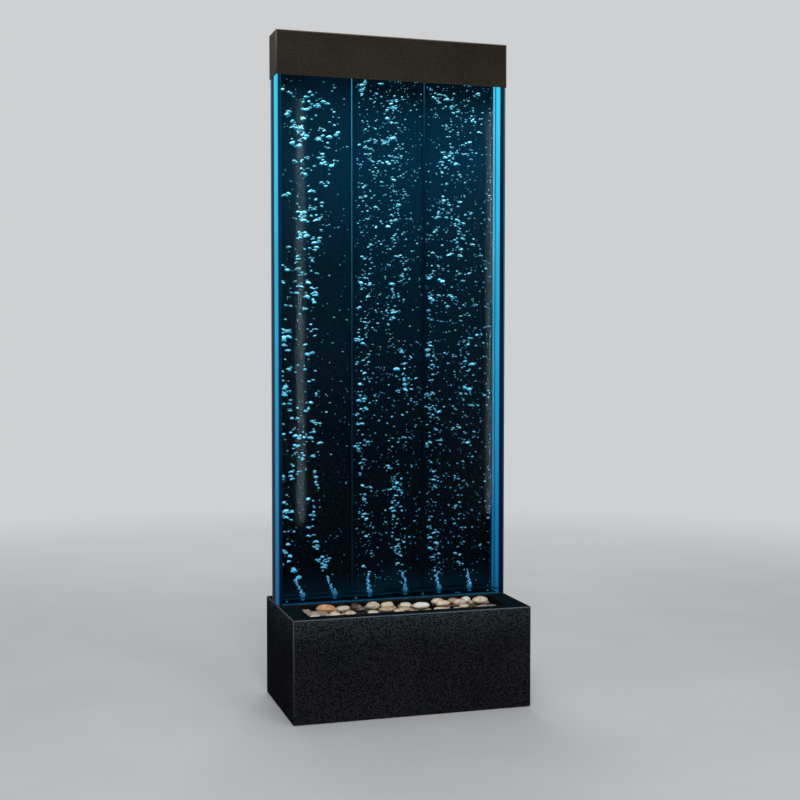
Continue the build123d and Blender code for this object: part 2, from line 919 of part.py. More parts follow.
def cap_socket():
    high = lid_top + socket_height
    body = block(connector_left, connector_right, connector_front, connector_back, lid_top, high)
    for y in contact_places:
        body -= post(
            contact_radius + running_gap, connector_x, y, high - contact_length - easy_gap, high + overrun
        )
    return body


def cap_plug():
    low = lid_top + socket_height + connector_gap
    body = block(connector_left, connector_right, connector_front, connector_back, low, cap_ceiling)
    for y in contact_places:
        body += post(contact_radius, connector_x, y, low - contact_length, low)
    return body


cap_half = tank_half + easy_gap + cap_sheet
board_half = bar_half_length - board_inset
stud_x = bar_half_length - board_inset / 2
bar_low = cap_ceiling - bar_height
board_high = cap_ceiling - bar_wall
board_low = board_high - board_sheet


def top_cap():
    """A folded hood, open below, with two studs for the LED bar."""
    hood = block(-cap_half, cap_half, cap_front, cap_back, cap_low, overall_height)
    hood = fillet(upright_edges(hood), cap_corner)
    hood = fillet(hood.faces().sort_by(Axis.Z)[-1].edges(), cap_corner)
    hood -= block(
        cap_sheet - cap_half, cap_half - cap_sheet, cap_front + cap_sheet, cap_back - cap_sheet,
        cap_low - overrun, cap_ceiling,
    )
    for x in (-stud_x, stud_x):
        hood += post(stud_radius, x, bar_line, cap_ceiling - stud_length, cap_ceiling)
    return hood


def cap_rests():
    """Two folded brackets under the cap that stand on the tank lid."""
    rests = []
    for side in (-1, 1):
        outer = cap_half - cap_sheet - rest_from_side
        web_low, web_high = sorted((side * (outer - rest_sheet), side * outer))
        foot_low, foot_high = sorted((side * (outer - rest_foot), side * outer))
        y_low = tank_front + rest_from_front
        y_high = y_low + rest_width
        web = block(web_low, web_high, y_low, y_high, lid_top, cap_ceiling)
        foot = block(foot_low, foot_high, y_low, y_high, lid_top, lid_top + rest_sheet)
        head = block(foot_low, foot_high, y_low, y_high, cap_ceiling - rest_sheet, cap_ceiling)
        rests.append(web + foot + head)
    return group(rests)


def led_bar():
    """An aluminium channel, open below, hung on the cap's studs."""
    half = bar_width / 2
    channel = block(
        -bar_half_length, bar_half_length, bar_line - half, bar_line + half, bar_low, cap_ceiling
    )
    channel -= block(
        -bar_half_length - overrun, bar_half_length + overrun,
        bar_line - half + bar_wall, bar_line + half - bar_wall, bar_low - overrun, board_high,
    )
    for x in (-stud_x, stud_x):
        channel -= hole(stud_radius + running_gap, x, bar_line, board_high, cap_ceiling)
    return channel


def led_bar_nuts():
    nuts = []
    for x in (-stud_x, stud_x):
        nut = hexagon(nut_radius, x, bar_line, board_high - nut_height, board_high)
        nut -= hole(stud_radius + running_gap, x, bar_line, board_high - nut_height, board_high)
        nuts.append(nut)
    return group(nuts)


def led_board():
    half = board_width / 2
    return block(-board_half, board_half, bar_line - half, bar_line + half, board_low, board_high)


def led_chips():
    chips = []
    pitch = 2 * board_half / chip_count
    half = chip_size / 2
    for index in range(chip_count):
        x = (index + 0.5) * pitch - board_half
        chips.append(block(
            x - half, x + half, bar_line - half, bar_line + half, board_low - chip_height, board_low
        ))
    return group(chips)


def led_lens():
    half = bar_width / 2 - bar_wall - running_gap
    return block(-board_half, board_half, bar_line - half, bar_line + half, bar_low, bar_low + lens_sheet)


def led_lead():
    """A short flat lead from the cap plug to the board."""
    y_high = bar_line + board_width / 2
    middle = (board_low + board_high) / 2
    return block(
        connector_right, -board_half, y_high - lead_width, y_high,
        middle - lead_sheet / 2, middle + lead_sheet / 2,
    )


def pebble_tray():
    half = tray_half
    wall = tray_sheet
    pan = block(
        -half - wall, half + wall, tray_front - wall, tray_back + wall, tray_floor - wall, top_under
    )
    rim = wall + tray_flange
    pan += block(
        -half - rim, half + rim, tray_front - rim, min(tray_back + rim, front_rail),
        top_under - wall, top_under,
    )
    pan -= block(-half, half, tray_front, tray_back, tray_floor, top_under + overrun)
    return pan


class Stone:
    """An ellipsoid stone, turned about Z, tipped about its long axis and laid down."""

    def __init__(self, long, wide, thick, turn, tip):
        self.sizes = (long, wide, thick)
        self.turn, self.tip = turn, tip
        self.x, self.y, self.z = 0, 0, 0
        c, s = cos(radians(turn)), sin(radians(turn))
        ct, st = cos(radians(tip)), sin(radians(tip))
        axes = ((c, s, 0), (-s * ct, c * ct, st), (s * st, -c * st, ct))
        self.form = [
            [sum(a[i] * a[j] / size ** 2 for a, size in zip(axes, self.sizes)) for j in range(3)]
            for i in range(3)
        ]
        self.reach_x = sqrt(sum((a[0] * size) ** 2 for a, size in zip(axes, self.sizes)))
        self.reach_y = sqrt(sum((a[1] * size) ** 2 for a, size in zip(axes, self.sizes)))

    def heights(self, x, y):
        """The stone's lowest and highest points over a place in plan, from its centre."""
        dx, dy = x - self.x, y - self.y
        form = self.form
        slope = form[0][2] * dx + form[1][2] * dy
        flat = form[0][0] * dx * dx + 2 * form[0][1] * dx * dy + form[1][1] * dy * dy - 1
        inside = slope * slope - form[2][2] * flat
        if inside < 0:
            return None
        root = sqrt(inside)
        return (-slope - root) / form[2][2], (-slope + root) / form[2][2]

    def settle(self, along, across, placed):
        """Lower the stone at its place in the tray until it lies on the floor or on others."""
        spare_x = 2 * (tray_half - self.reach_x - stone_gap)
        spare_y = tray_back - tray_front - 2 * (self.reach_y + stone_gap)
        self.x = along * spare_x - spare_x / 2
        self.y = (tray_front + tray_back) / 2 + across * spare_y - spare_y / 2
        rest = tray_floor + stone_gap
        for i in range(-stone_steps, stone_steps + 1):
            for j in range(-stone_steps, stone_steps + 1):
                x = self.x + self.reach_x * i / stone_steps
                y = self.y + self.reach_y * j / stone_steps
                mine = self.heights(x, y)
                if mine is None:
                    continue
                under = [tray_floor]
                for other in placed:
                    theirs = other.heights(x, y)
                    if theirs is not None:
                        under.append(other.z + theirs[1])
                rest = max(rest, max(under) + stone_gap - mine[0])
        self.z = rest
        placed.append(self)

    def solid(self):
        shape = scale(Sphere(1), by=self.sizes)
        return Pos(self.x, self.y, self.z) * Rot(0, 0, self.turn) * Rot(self.tip, 0, 0) * shape


def vary(shares, wave):
    """A size between its least share and the whole, for a wave between -1 and 1."""
    least, added = shares
    return least + added * wave


def pebbles():
    """Rows of stones on the tray floor, with larger stones lying across them."""
    placed = []
    for row in range(stone_rows):
        for column in range(stone_columns):
            number = row * stone_columns + column
            waves = [sin(pi * share * number + row) for share in stone_phase_shares]
            long = stone_long * vary(stone_size_shares, waves[0])
            wide = stone_wide * vary(stone_width_shares, waves[1])
            thick = stone_thick * vary(stone_thickness_shares, waves[2])
            stone = Stone(long, wide, thick, 180 * stone_turn_share * waves[3], 0)
            along = column / (stone_columns - 1)
            along += stone_shift_share * sin(pi * along) * waves[4] / stone_columns
            across = row / (stone_rows - 1)
            across += stone_shift_share * sin(pi * across) * waves[5] / stone_rows
            stone.settle(along, across, placed)
    for along, across, long, wide, thick, turn, tip in top_stone_shares:
        stone = Stone(stone_long * long, stone_wide * wide, stone_thick * thick, 180 * turn, 180 * tip)
        stone.settle(along, across, placed)
    print("highest stone above the base", round(max(s.z + s.sizes[2] for s in placed) - base_height, 1))
    return group([stone.solid() for stone in placed])


bay_plate = back_face - bay_depth
bay_face = bay_plate + bay_sheet
panel_inner = back_face - sheet


def countersunk(x, z):
    """The cone of a countersunk head, flush with the panel's outer face."""
    cone = Rot(90, 0, 0) * Cone(screw_head_radius, screw_radius, sheet)
    return Pos(x, back_face - sheet / 2, z) * Rot(0, 0, 180) * cone


def service_panel():
    """A flush panel with a recessed connection bay and vent slots."""
    gap = easy_gap
    plate = block(
        gap - service_half_width, service_half_width - gap, panel_inner, back_face,
        service_low + gap, service_high - gap,
    )
    wall = bay_sheet
    plate += block(
        bay_left - wall, bay_right + wall, bay_plate, panel_inner, bay_low - wall, bay_high + wall
    )
    plate -= block(bay_left, bay_right, bay_face, back_face + overrun, bay_low, bay_high)
    for index in range(vent_slot_count):
        z = (service_low + service_high) / 2 + (index - (vent_slot_count - 1) / 2) * vent_slot_pitch
        plate -= block(
            vent_slot_place - vent_slot_width / 2, vent_slot_place + vent_slot_width / 2,
            panel_inner - overrun, back_face + overrun,
            z - vent_slot_height / 2, z + vent_slot_height / 2,
        )
    for x, z in service_screw_places():
        plate -= countersunk(x, z)
    for radius, x in ((inlet_radius, inlet_place), (drain_radius, drain_place)):
        plate -= pin_back(
            radius + running_gap, x, fitting_height, bay_plate - overrun, bay_face + overrun
        )
    half_x = switch_width / 2 - switch_lip + running_gap
    half_z = switch_height / 2 - switch_lip + running_gap
    plate -= block(
        switch_place - half_x, switch_place + half_x, bay_plate - overrun, bay_face + overrun,
        fitting_height - half_z, fitting_height + half_z,
    )
    return plate


def service_screws():
    screws = []
    for x, z in service_screw_places():
        shank = pin_back(screw_radius, x, z, back_face - screw_length, back_face - sheet)
        screws.append(countersunk(x, z) + shank)
    return group(screws)


def power_inlet():
    """A round low-voltage socket with a centre pin."""
    flange_high = bay_face + inlet_flange
    body = pin_back(inlet_radius, inlet_place, fitting_height, bay_face - inlet_body, bay_face)
    body += pin_back(inlet_flange_radius, inlet_place, fitting_height, bay_face, flange_high)
    body -= pin_back(
        inlet_bore_radius, inlet_place, fitting_height, flange_high - inlet_bore_depth, flange_high + overrun
    )
    pin_low = flange_high - inlet_bore_depth
    return body + pin_back(inlet_pin_radius, inlet_place, fitting_height, pin_low, bay_face)


rocker_half = switch_width / 2 - switch_lip - rocker_gap - switch_flange / 2


def switch_bezel():
    """The switch's frame and body, with two pivot pins for the rocker."""
    half_x, half_z = switch_width / 2, switch_height / 2
    flange_high = bay_face + switch_flange
    body = block(
        switch_place - half_x, switch_place + half_x, bay_face, flange_high,
        fitting_height - half_z, fitting_height + half_z,
    )
    body = fillet(body.edges().filter_by(Axis.Y), switch_flange / 2)
    body += block(
        switch_place - half_x + switch_lip, switch_place + half_x - switch_lip,
        bay_face - switch_body, bay_face,
        fitting_height - half_z + switch_lip, fitting_height + half_z - switch_lip,
    )
    well = rocker_radius + rocker_gap
    well_x = rocker_half + rocker_gap
    body -= pin_side(well, bay_face, fitting_height, switch_place - well_x, switch_place + well_x)
    for side in (-1, 1):
        low, high = sorted((side * (rocker_half - rocker_pin_radius), side * well_x))
        body += pin_side(
            rocker_pin_radius, bay_face, fitting_height, switch_place + low, switch_place + high
        )
    return body


def switch_rocker():
    """The rocker, at rest with its lower end pressed in."""
    rocker = pin_side(
        rocker_radius, bay_face, fitting_height, switch_place - rocker_half, switch_place + rocker_half
    )
    for side in (-1, 1):
        face = Pos(0, bay_face + rocker_radius / 2, fitting_height) * Rot(side * rocker_swing, 0, 0)
        flat = face * Pos(switch_place, rocker_radius, 0) * Box(
            switch_width, 2 * rocker_radius, 4 * rocker_radius
        )
        rocker -= flat
    for side in (-1, 1):
        socket_end = rocker_half - rocker_pin_radius - rocker_gap
        low, high = sorted((side * socket_end, side * (rocker_half + overrun)))
        rocker -= pin_side(
            rocker_pin_radius + running_gap, bay_face, fitting_height, switch_place + low, switch_place + high
        )
    pivot = Axis((0, bay_face, fitting_height), (1, 0, 0))
    return rocker.rotate(pivot, -rocker_swing)


def drain_pipe():
    """A pipe from the tank floor that turns back to the drain valve."""
    start = Vector(drain_place, drain_line, tank_floor_top)
    corner = Vector(drain_place, drain_line, fitting_height)
    finish = Vector(drain_place, bay_face - drain_tail, fitting_height)
    bend = hose_bend_share * (finish - corner).length
    route = FilletPolyline(start, corner, finish, radius=bend)
    ring = Circle(drain_radius) - Circle(drain_bore_radius)
    print("drain bend radius", round(bend, 1))
    return sweep(Plane(origin=start, z_dir=(0, 0, -1)) * ring, path=route)


def drain_valve():
    """A block behind the spout, with its tail through the bay's plate."""
    half = drain_block / 2
    block_high = bay_face + drain_block_depth
    body = block(
        drain_place - half, drain_place + half, bay_face, block_high,
        fitting_height - half, fitting_height + half,
    )
    body = chamfer(body.edges().filter_by(Axis.Y), drain_block_chamfer)
    body += pin_back(drain_radius, drain_place, fitting_height, bay_face - drain_tail, bay_face)
    body += pin_back(spout_radius, drain_place, fitting_height, block_high, block_high + spout_length)
    body -= pin_back(
        drain_bore_radius - seat_gap, drain_place, fitting_height,
        bay_face - drain_tail - overrun, block_high + spout_length + overrun,
    )
    stem_y = bay_face + drain_block_depth / 2
    body -= post(
        lever_stem_radius + running_gap, drain_place, stem_y,
        fitting_height + half - lever_stem_depth, fitting_height + half + overrun,
    )
    return body


def drain_lever():
    low = fitting_height + drain_block / 2 + tap_gap
    stem_y = bay_face + drain_block_depth / 2
    stem_low = fitting_height + drain_block / 2 - lever_stem_depth + tap_gap
    lever = post(lever_stem_radius, drain_place, stem_y, stem_low, low)
    lever += post(lever_hub_radius, drain_place, stem_y, low, low + lever_sheet)
    arm = block(
        drain_place, drain_place + lever_length, stem_y - lever_width / 2, stem_y + lever_width / 2,
        low, low + lever_sheet,
    )
    return lever + fillet(upright_edges(arm).group_by(Axis.X)[-1], lever_width / 3)


nodes = {
    "base_cabinet": base_cabinet(),
    "base_floor": base_floor(),
    "foot_pads": foot_pads(),
    "floor_screws": floor_screws(),
    "tank_frame": tank_frame(),
    "tank_gasket": tank_gasket(),
    "tank_bolts": tank_bolts(),
    "pebble_tray": pebble_tray(),
    "pebbles": pebbles(),
    "tank_front_panel": tank_panel(tank_front, inner_front, 0),
    "tank_back_panel": tank_panel(inner_back, tank_back, -1),
    "tank_side_left": tank_side(-1),
    "tank_side_right": tank_side(1),
    "tank_floor": tank_floor(),
    "tank_lid": tank_lid(),
    "divider_left": divider(-1),
    "divider_right": divider(1),
    "filler_plug": filler_plug(),
    "air_outlets": air_outlets(),
    "outlet_nuts": outlet_nuts(),
    "air_stones": air_stones(),
    "check_valves": check_valves(),
    "riser_hoses": riser_hoses(),
    "air_manifold": air_manifold(),
    "air_hose": air_hose(),
    "pump_housing": pump_housing(),
    "pump_cover": pump_cover(),
    "pump_feet": pump_feet(),
    "pump_coil": pump_coil(),
    "pump_armature": pump_armature(),
    "pump_diaphragm": pump_diaphragm(),
    "pump_valve_block": pump_valve_block(),
    "led_controller": led_controller(),
    "controller_cover": controller_cover(),
    "led_cable": led_cable(),
    "cap_socket": cap_socket(),
    "cap_plug": cap_plug(),
    "top_cap": top_cap(),
    "cap_rests": cap_rests(),
    "led_bar": led_bar(),
    "led_bar_nuts": led_bar_nuts(),
    "led_board": led_board(),
    "led_chips": led_chips(),
    "led_lens": led_lens(),
    "led_lead": led_lead(),
    "service_panel": service_panel(),
    "service_screws": service_screws(),
    "power_inlet": power_inlet(),
    "switch_bezel": switch_bezel(),
    "switch_rocker": switch_rocker(),
    "drain_pipe": drain_pipe(),
    "drain_valve": drain_valve(),
    "drain_lever": drain_lever(),
}
for number, place in enumerate(outlet_places, start=1):
    nodes[f"air_tap_{number}"] = air_tap(place)

for name, shape in nodes.items():
    export_step(shape, f"parts/{name}.step")
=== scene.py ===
"""Looks of the bubble wall panel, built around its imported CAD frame. Lengths are in metres."""

import json
import math
import random

import bmesh
import bpy
import numpy as np
from mathutils import Matrix, Vector, noise


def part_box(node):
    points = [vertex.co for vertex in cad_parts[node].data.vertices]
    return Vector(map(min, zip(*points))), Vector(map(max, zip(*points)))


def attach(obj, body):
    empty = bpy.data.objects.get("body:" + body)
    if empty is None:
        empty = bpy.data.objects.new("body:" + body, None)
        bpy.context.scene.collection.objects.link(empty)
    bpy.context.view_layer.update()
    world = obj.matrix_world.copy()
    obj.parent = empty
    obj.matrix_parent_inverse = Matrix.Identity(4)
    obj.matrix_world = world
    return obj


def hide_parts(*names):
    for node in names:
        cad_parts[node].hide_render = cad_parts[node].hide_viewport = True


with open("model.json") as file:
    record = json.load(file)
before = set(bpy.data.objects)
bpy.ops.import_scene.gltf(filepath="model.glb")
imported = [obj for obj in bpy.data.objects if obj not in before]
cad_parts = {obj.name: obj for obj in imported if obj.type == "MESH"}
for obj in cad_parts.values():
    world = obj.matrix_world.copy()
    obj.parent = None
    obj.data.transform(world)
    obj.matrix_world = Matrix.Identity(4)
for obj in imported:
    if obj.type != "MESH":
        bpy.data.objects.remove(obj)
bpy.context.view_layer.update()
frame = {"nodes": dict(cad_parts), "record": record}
nodes = frame["nodes"]
scene = bpy.context.scene

# Places read from the frame
bar_low, bar_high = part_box("tank_side_right")
floor_low, floor_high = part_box("tank_floor")
divider_low, divider_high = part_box("divider_right")
tray_low, tray_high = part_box("pebble_tray")
INNER_X, OUTER_X = bar_low.x, bar_high.x
INNER_FRONT, INNER_BACK = bar_low.y, bar_high.y
BACK_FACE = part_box("tank_back_panel")[1].y
FLOOR_FOOT, FLOOR_TOP = floor_low.z, floor_high.z
WATER_TOP = divider_high.z
STONE_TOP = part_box("air_stones")[1].z
GLOW_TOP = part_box("top_cap")[0].z

# Camera, solved from the photo's corners
CAMERA_PLACE = (-1.0439, -3.4852, 0.9919)
CAMERA_YAW, CAMERA_PITCH = math.radians(16.84), math.radians(2.486)
CAMERA_ROLL = math.radians(0.034)
CAMERA_LENS, SENSOR_WIDTH = 59.40, 36.0
IMAGE_SIZE = 800

# Most values of a noise lie in this span
NOISE_LOW, NOISE_HIGH = 0.3, 0.7
# A face looks along an axis where its normal has more than this share of it
FACING_SHARE, SAWN_FACING_SHARE = 0.5, 0.6
# Slack for a face that is told by its place
FACE_SLACK = 0.001
BLACK, WHITE = (0, 0, 0), (1, 1, 1)


# Node helpers
class Tree:
    """Short ways to add shader nodes to a new material or world."""

    def __init__(self, name, owners=bpy.data.materials, output="ShaderNodeOutputMaterial"):
        self.owner = owners.new(name)
        self.owner.use_nodes = True
        self.tree = self.owner.node_tree
        self.tree.nodes.clear()
        self.out = self.add(output)
        self.coord = self.add("ShaderNodeTexCoord").outputs["Object"]

    def add(self, kind, **values):
        node = self.tree.nodes.new(kind)
        for key, value in values.items():
            setattr(node, key, value)
        return node

    def link(self, source, target):
        self.tree.links.new(source, target)

    def feed(self, socket, value):
        """Links a socket to another's output, or sets its own number or colour."""
        if isinstance(value, bpy.types.NodeSocket):
            self.link(value, socket)
        elif isinstance(value, (tuple, list)) and len(value) == 3 and socket.type == "RGBA":
            socket.default_value = (*value, 1)
        else:
            socket.default_value = value

    def stretched(self, stretch):
        """The surface point, scaled along each axis where a stretch is given."""
        if not stretch:
            return self.coord
        mapping = self.add("ShaderNodeMapping")
        self.link(self.coord, mapping.inputs["Vector"])
        mapping.inputs["Scale"].default_value = stretch
        return mapping.outputs[0]

    def noise(self, scale, detail=3.0, rough=0.5, stretch=None):
        node = self.add("ShaderNodeTexNoise")
        self.link(self.stretched(stretch), node.inputs["Vector"])
        node.inputs["Scale"].default_value = scale
        node.inputs["Detail"].default_value = detail
        node.inputs["Roughness"].default_value = rough
        return node.outputs["Fac"]

    def cells(self, scale, feature="F1", output="Distance", stretch=None):
        node = self.add("ShaderNodeTexVoronoi", feature=feature)
        self.link(self.stretched(stretch), node.inputs["Vector"])
        node.inputs["Scale"].default_value = scale
        return node.outputs[output]

    def ramp(self, value, stops):
        """A colour for a value, by stops of place and colour."""
        node = self.add("ShaderNodeValToRGB")
        self.feed(node.inputs["Fac"], value)
        elements = node.color_ramp.elements
        while len(elements) < len(stops):
            elements.new(0.5)
        for element, (place, colour) in zip(elements, stops):
            element.position = place
            element.color = (*colour, 1)
        return node.outputs["Color"]

    def span(self, value, low, high, to_low=0.0, to_high=1.0, smooth=False):
        node = self.add("ShaderNodeMapRange")
        if smooth:
            node.interpolation_type = "SMOOTHSTEP"
        self.feed(node.inputs["Value"], value)
        for name, number in (
            ("From Min", low), ("From Max", high), ("To Min", to_low), ("To Max", to_high)
        ):
            node.inputs[name].default_value = number
        return node.outputs["Result"]

    def vary(self, value, to_low=0.0, to_high=1.0):
        """A range of numbers that follows a noise."""
        return self.span(value, NOISE_LOW, NOISE_HIGH, to_low, to_high)

    def maths(self, operation, a, b=0.0):
        node = self.add("ShaderNodeMath", operation=operation)
        for socket, value in zip(node.inputs, (a, b)):
            self.feed(socket, value)
        return node.outputs[0]

    def plus(self, a, b):
        return self.maths("ADD", a, b)

    def times(self, a, b):
        return self.maths("MULTIPLY", a, b)

    def most(self, a, b):
        return self.maths("MAXIMUM", a, b)

    def size(self, value):
        return self.maths("ABSOLUTE", value)

    def above(self, value, limit):
        return self.maths("GREATER_THAN", value, limit)

    def below(self, value, limit):
        return self.maths("LESS_THAN", value, limit)

    def mix(self, factor, a, b, blend="MIX"):
        node = self.add("ShaderNodeMix", data_type="RGBA", blend_type=blend)
        self.feed(node.inputs["Factor"], factor)
        self.feed(node.inputs["A"], a)
        self.feed(node.inputs["B"], b)
        return node.outputs["Result"]

    def tinted(self, colour, by, share=1.0):
        return self.mix(share, colour, by, "MULTIPLY")

    def split(self, vector):
        node = self.add("ShaderNodeSeparateXYZ")
        self.link(vector, node.inputs[0])
        return tuple(node.outputs)

    def place(self):
        """The surface point's X, Y and Z in the object's frame at rest."""
        return self.split(self.coord)

    def normal(self):
        return self.split(self.add("ShaderNodeTexCoord").outputs["Normal"])

    def island(self):
        return self.add("ShaderNodeNewGeometry").outputs["Random Per Island"]

    def backdrop_rays(self):
        """1 for camera, mirrored and transmitted rays, which see the backdrop as it is, else 0."""
        rays = self.add("ShaderNodeLightPath").outputs
        seen = self.most(rays["Is Camera Ray"], rays["Is Glossy Ray"])
        return self.most(seen, rays["Is Transmission Ray"])

    def bump(self, height, strength, distance):
        node = self.add("ShaderNodeBump")
        self.link(height, node.inputs["Height"])
        node.inputs["Strength"].default_value = strength
        node.inputs["Distance"].default_value = distance
        return node.outputs["Normal"]

    def surface(self, colour, rough, metal=0.0, normal=None, **sockets):
        shader = self.add("ShaderNodeBsdfPrincipled")
        self.feed(shader.inputs["Base Color"], colour)
        self.feed(shader.inputs["Roughness"], rough)
        self.feed(shader.inputs["Metallic"], metal)
        if normal is not None:
            self.link(normal, shader.inputs["Normal"])
        for key, value in sockets.items():
            self.feed(shader.inputs[key.replace("_", " ")], value)
        return shader.outputs[0]

    def clear(self, colour):
        node = self.add("ShaderNodeBsdfTransparent")
        self.feed(node.inputs[0], colour)
        return node.outputs[0]

    def glow(self, colour, strength=1.0):
        node = self.add("ShaderNodeEmission")
        self.feed(node.inputs["Color"], colour)
        self.feed(node.inputs["Strength"], strength)
        return node.outputs[0]

    def lit(self, shader, colour, strength=1.0):
        """A shader with a glow added to it."""
        node = self.add("ShaderNodeAddShader")
        self.link(shader, node.inputs[0])
        self.link(self.glow(colour, strength), node.inputs[1])
        return node.outputs[0]

    def blend(self, factor, first, second):
        """One shader where the factor is 0, and the other where it is 1."""
        node = self.add("ShaderNodeMixShader")
        for socket, source in zip(node.inputs, (factor, first, second)):
            self.link(source, socket)
        return node.outputs[0]

    def polished(self, shader, rough, ior, **kind):
        """A shader under a gloss that grows towards grazing angles."""
        gloss = self.add("ShaderNodeBsdfGlossy", **kind)
        self.feed(gloss.inputs["Roughness"], rough)
        fresnel = self.add("ShaderNodeFresnel")
        fresnel.inputs["IOR"].default_value = ior
        return self.blend(fresnel.outputs[0], shader, gloss.outputs[0])

    def done(self, shader):
        self.link(shader, self.out.inputs["Surface"])
        return self.owner


# Powder coat: how far in from the edges the painted edge highlight reaches, and how far down the base
# the tank's light shows
EDGE_HIGHLIGHT_REACH, SPILL_REACH = 0.0035, 0.1
# Share of that light on the top of the base, for each part of its colour
SPILL_ON_TOP = (0.15, 0.40, 0.52)
# Gains on the light colour: for the flecks painted as glints, and for the painted edge highlight
GLINT_GAIN, EDGE_HIGHLIGHT_GAIN = 3.0, 7.8


def edge_lines(t, box, reach):
    """Where two faces of a box meet, within a reach of both."""
    near = []
    for place, low, high in zip(t.place(), *box):
        from_low, from_high = t.maths("SUBTRACT", place, low), t.maths("SUBTRACT", high, place)
        near.append(t.span(t.maths("MINIMUM", from_low, from_high), 0, reach, 1, 0))
    pairs = [t.times(near[k], near[k - 1]) for k in range(3)]
    return t.most(t.most(pairs[0], pairs[1]), pairs[2])


def powder_coat(name, dark, light, rough, box, grain_scale, soft, gloss, spill=None):
    """Textured powder coat: grain, darker pits, tiny flecks painted bright as glints, and edges
    painted paler as a highlight that grows towards the top.

    A spill colour is the tank's own light on the top of the box and high up on its sides.
    """
    t = Tree(name)
    height, foot, top = t.place()[2], box[0].z, box[1].z
    fine = t.noise(900, detail=4, rough=0.65)
    grain = t.noise(grain_scale, rough=0.75)
    cloud = t.noise(7)
    colour = t.mix(t.span(grain, 0.5 - soft, 0.5 + soft), dark, light)
    colour = t.mix(t.span(fine, 0.4, 0.7, 0.0, 0.4), colour, light)
    colour = t.mix(t.vary(cloud, 0.0, 0.35), colour, dark)
    # Painted glints: tiny flecks far paler than the coat
    glint = t.span(t.cells(240), 0.08, 0.24, 0.5, 0.0)
    colour = t.mix(glint, colour, tuple(GLINT_GAIN * c for c in light))
    if spill:
        high = t.maths("POWER", t.span(height, top - SPILL_REACH, top), 1.8)
        lit = t.mix(high, colour, t.mix(t.span(grain, 0.42, 0.58), BLACK, spill), "ADD")
        on_top = tuple(share * c for share, c in zip(SPILL_ON_TOP, spill))
        colour = t.mix(t.above(t.normal()[2], FACING_SHARE), lit, t.mix(0.8, colour, on_top))
    # Painted edge highlight: paler where two faces meet, stronger towards the top
    edge_highlight = t.times(edge_lines(t, box, EDGE_HIGHLIGHT_REACH), t.span(grain, 0.25, 0.6, 0.5, 1.0))
    edge_highlight = t.times(edge_highlight, t.span(height, foot, top))
    colour = t.mix(edge_highlight, colour, tuple(EDGE_HIGHLIGHT_GAIN * c for c in light))
    roughness = t.vary(grain, rough + 0.1, rough - 0.08)
    normal = t.bump(t.plus(grain, t.times(fine, 0.5)), 0.6, 0.0008)
    return t.done(t.surface(colour, roughness, normal=normal, Specular_IOR_Level=gloss))


def spangled_steel(name):
    """Galvanised sheet, with zinc spangles of a few millimetres."""
    t = Tree(name)
    tone = t.split(t.cells(150, output="Color"))[0]
    scratch = t.noise(40, detail=4, rough=0.6, stretch=(1, 1, 14))
    colour = t.mix(t.span(tone, 0, 1), (0.40, 0.42, 0.44), (0.60, 0.62, 0.63))
    colour = t.mix(t.span(scratch, 0.55, 0.75, 0, 0.3), colour, (0.30, 0.31, 0.32))
    rough = t.span(tone, 0, 1, 0.30, 0.52)
    return t.done(t.surface(colour, rough, 1.0, t.bump(tone, 0.12, 0.0003)))


def brushed_metal(name, dark, light, stretch, rough):
    """Metal with fine lines across its stretched axis and faint stains."""
    t = Tree(name)
    lines = t.noise(300, detail=5, rough=0.7, stretch=stretch)
    stain = t.noise(25)
    colour = t.mix(t.vary(lines), dark, light)
    colour = t.mix(t.span(stain, 0.5, 0.8, 0, 0.35), colour, dark)
    roughness = t.vary(lines, rough, rough + 0.15)
    return t.done(t.surface(colour, roughness, 1.0, t.bump(lines, 0.15, 0.0002)))


def moulded(name, dark, light, grain_scale, rough, bump=0.15, gloss=0.5):
    """Moulded plastic or rubber, with a fine spark-eroded grain and faint flow marks."""
    t = Tree(name)
    fine = t.noise(grain_scale, rough=0.6)
    flow = t.noise(18, stretch=(1, 1, 2.5))
    colour = t.mix(t.vary(flow), dark, light)
    colour = t.mix(t.span(fine, 0.45, 0.75, 0, 0.35), colour, light)
    roughness = t.vary(fine, rough - 0.06, rough + 0.08)
    normal = t.bump(fine, bump, 0.0003)
    return t.done(t.surface(colour, roughness, normal=normal, Specular_IOR_Level=gloss))


# Lit acrylic: the light enters at the top, under the cap, and comes out at edges and faces
LIT, LIT_SIDE = (0.06, 0.66, 0.94), (0.055, 0.62, 0.90)
DEEP_BLUE, NAVY = (0.004, 0.16, 0.30), (0.002, 0.020, 0.045)
LIT_BASE, LIT_GLOSS = (0.001, 0.006, 0.010), 0.002
# The bars' front faces: place from the water outwards, and colour
LEFT_FRONT_STOPS = (
    (0.0, (0.004, 0.060, 0.11)), (0.12, (0.003, 0.035, 0.07)), (0.56, NAVY),
    (0.67, (0.03, 0.25, 0.42)), (0.78, (0.055, 0.64, 0.92)), (1.0, LIT),
)
RIGHT_FRONT_STOPS = (
    (0.0, LIT_SIDE), (0.05, (0.05, 0.58, 0.86)), (0.13, NAVY), (0.84, (0.002, 0.016, 0.036)),
    (0.91, (0.03, 0.16, 0.25)), (1.0, (0.04, 0.20, 0.30)),
)
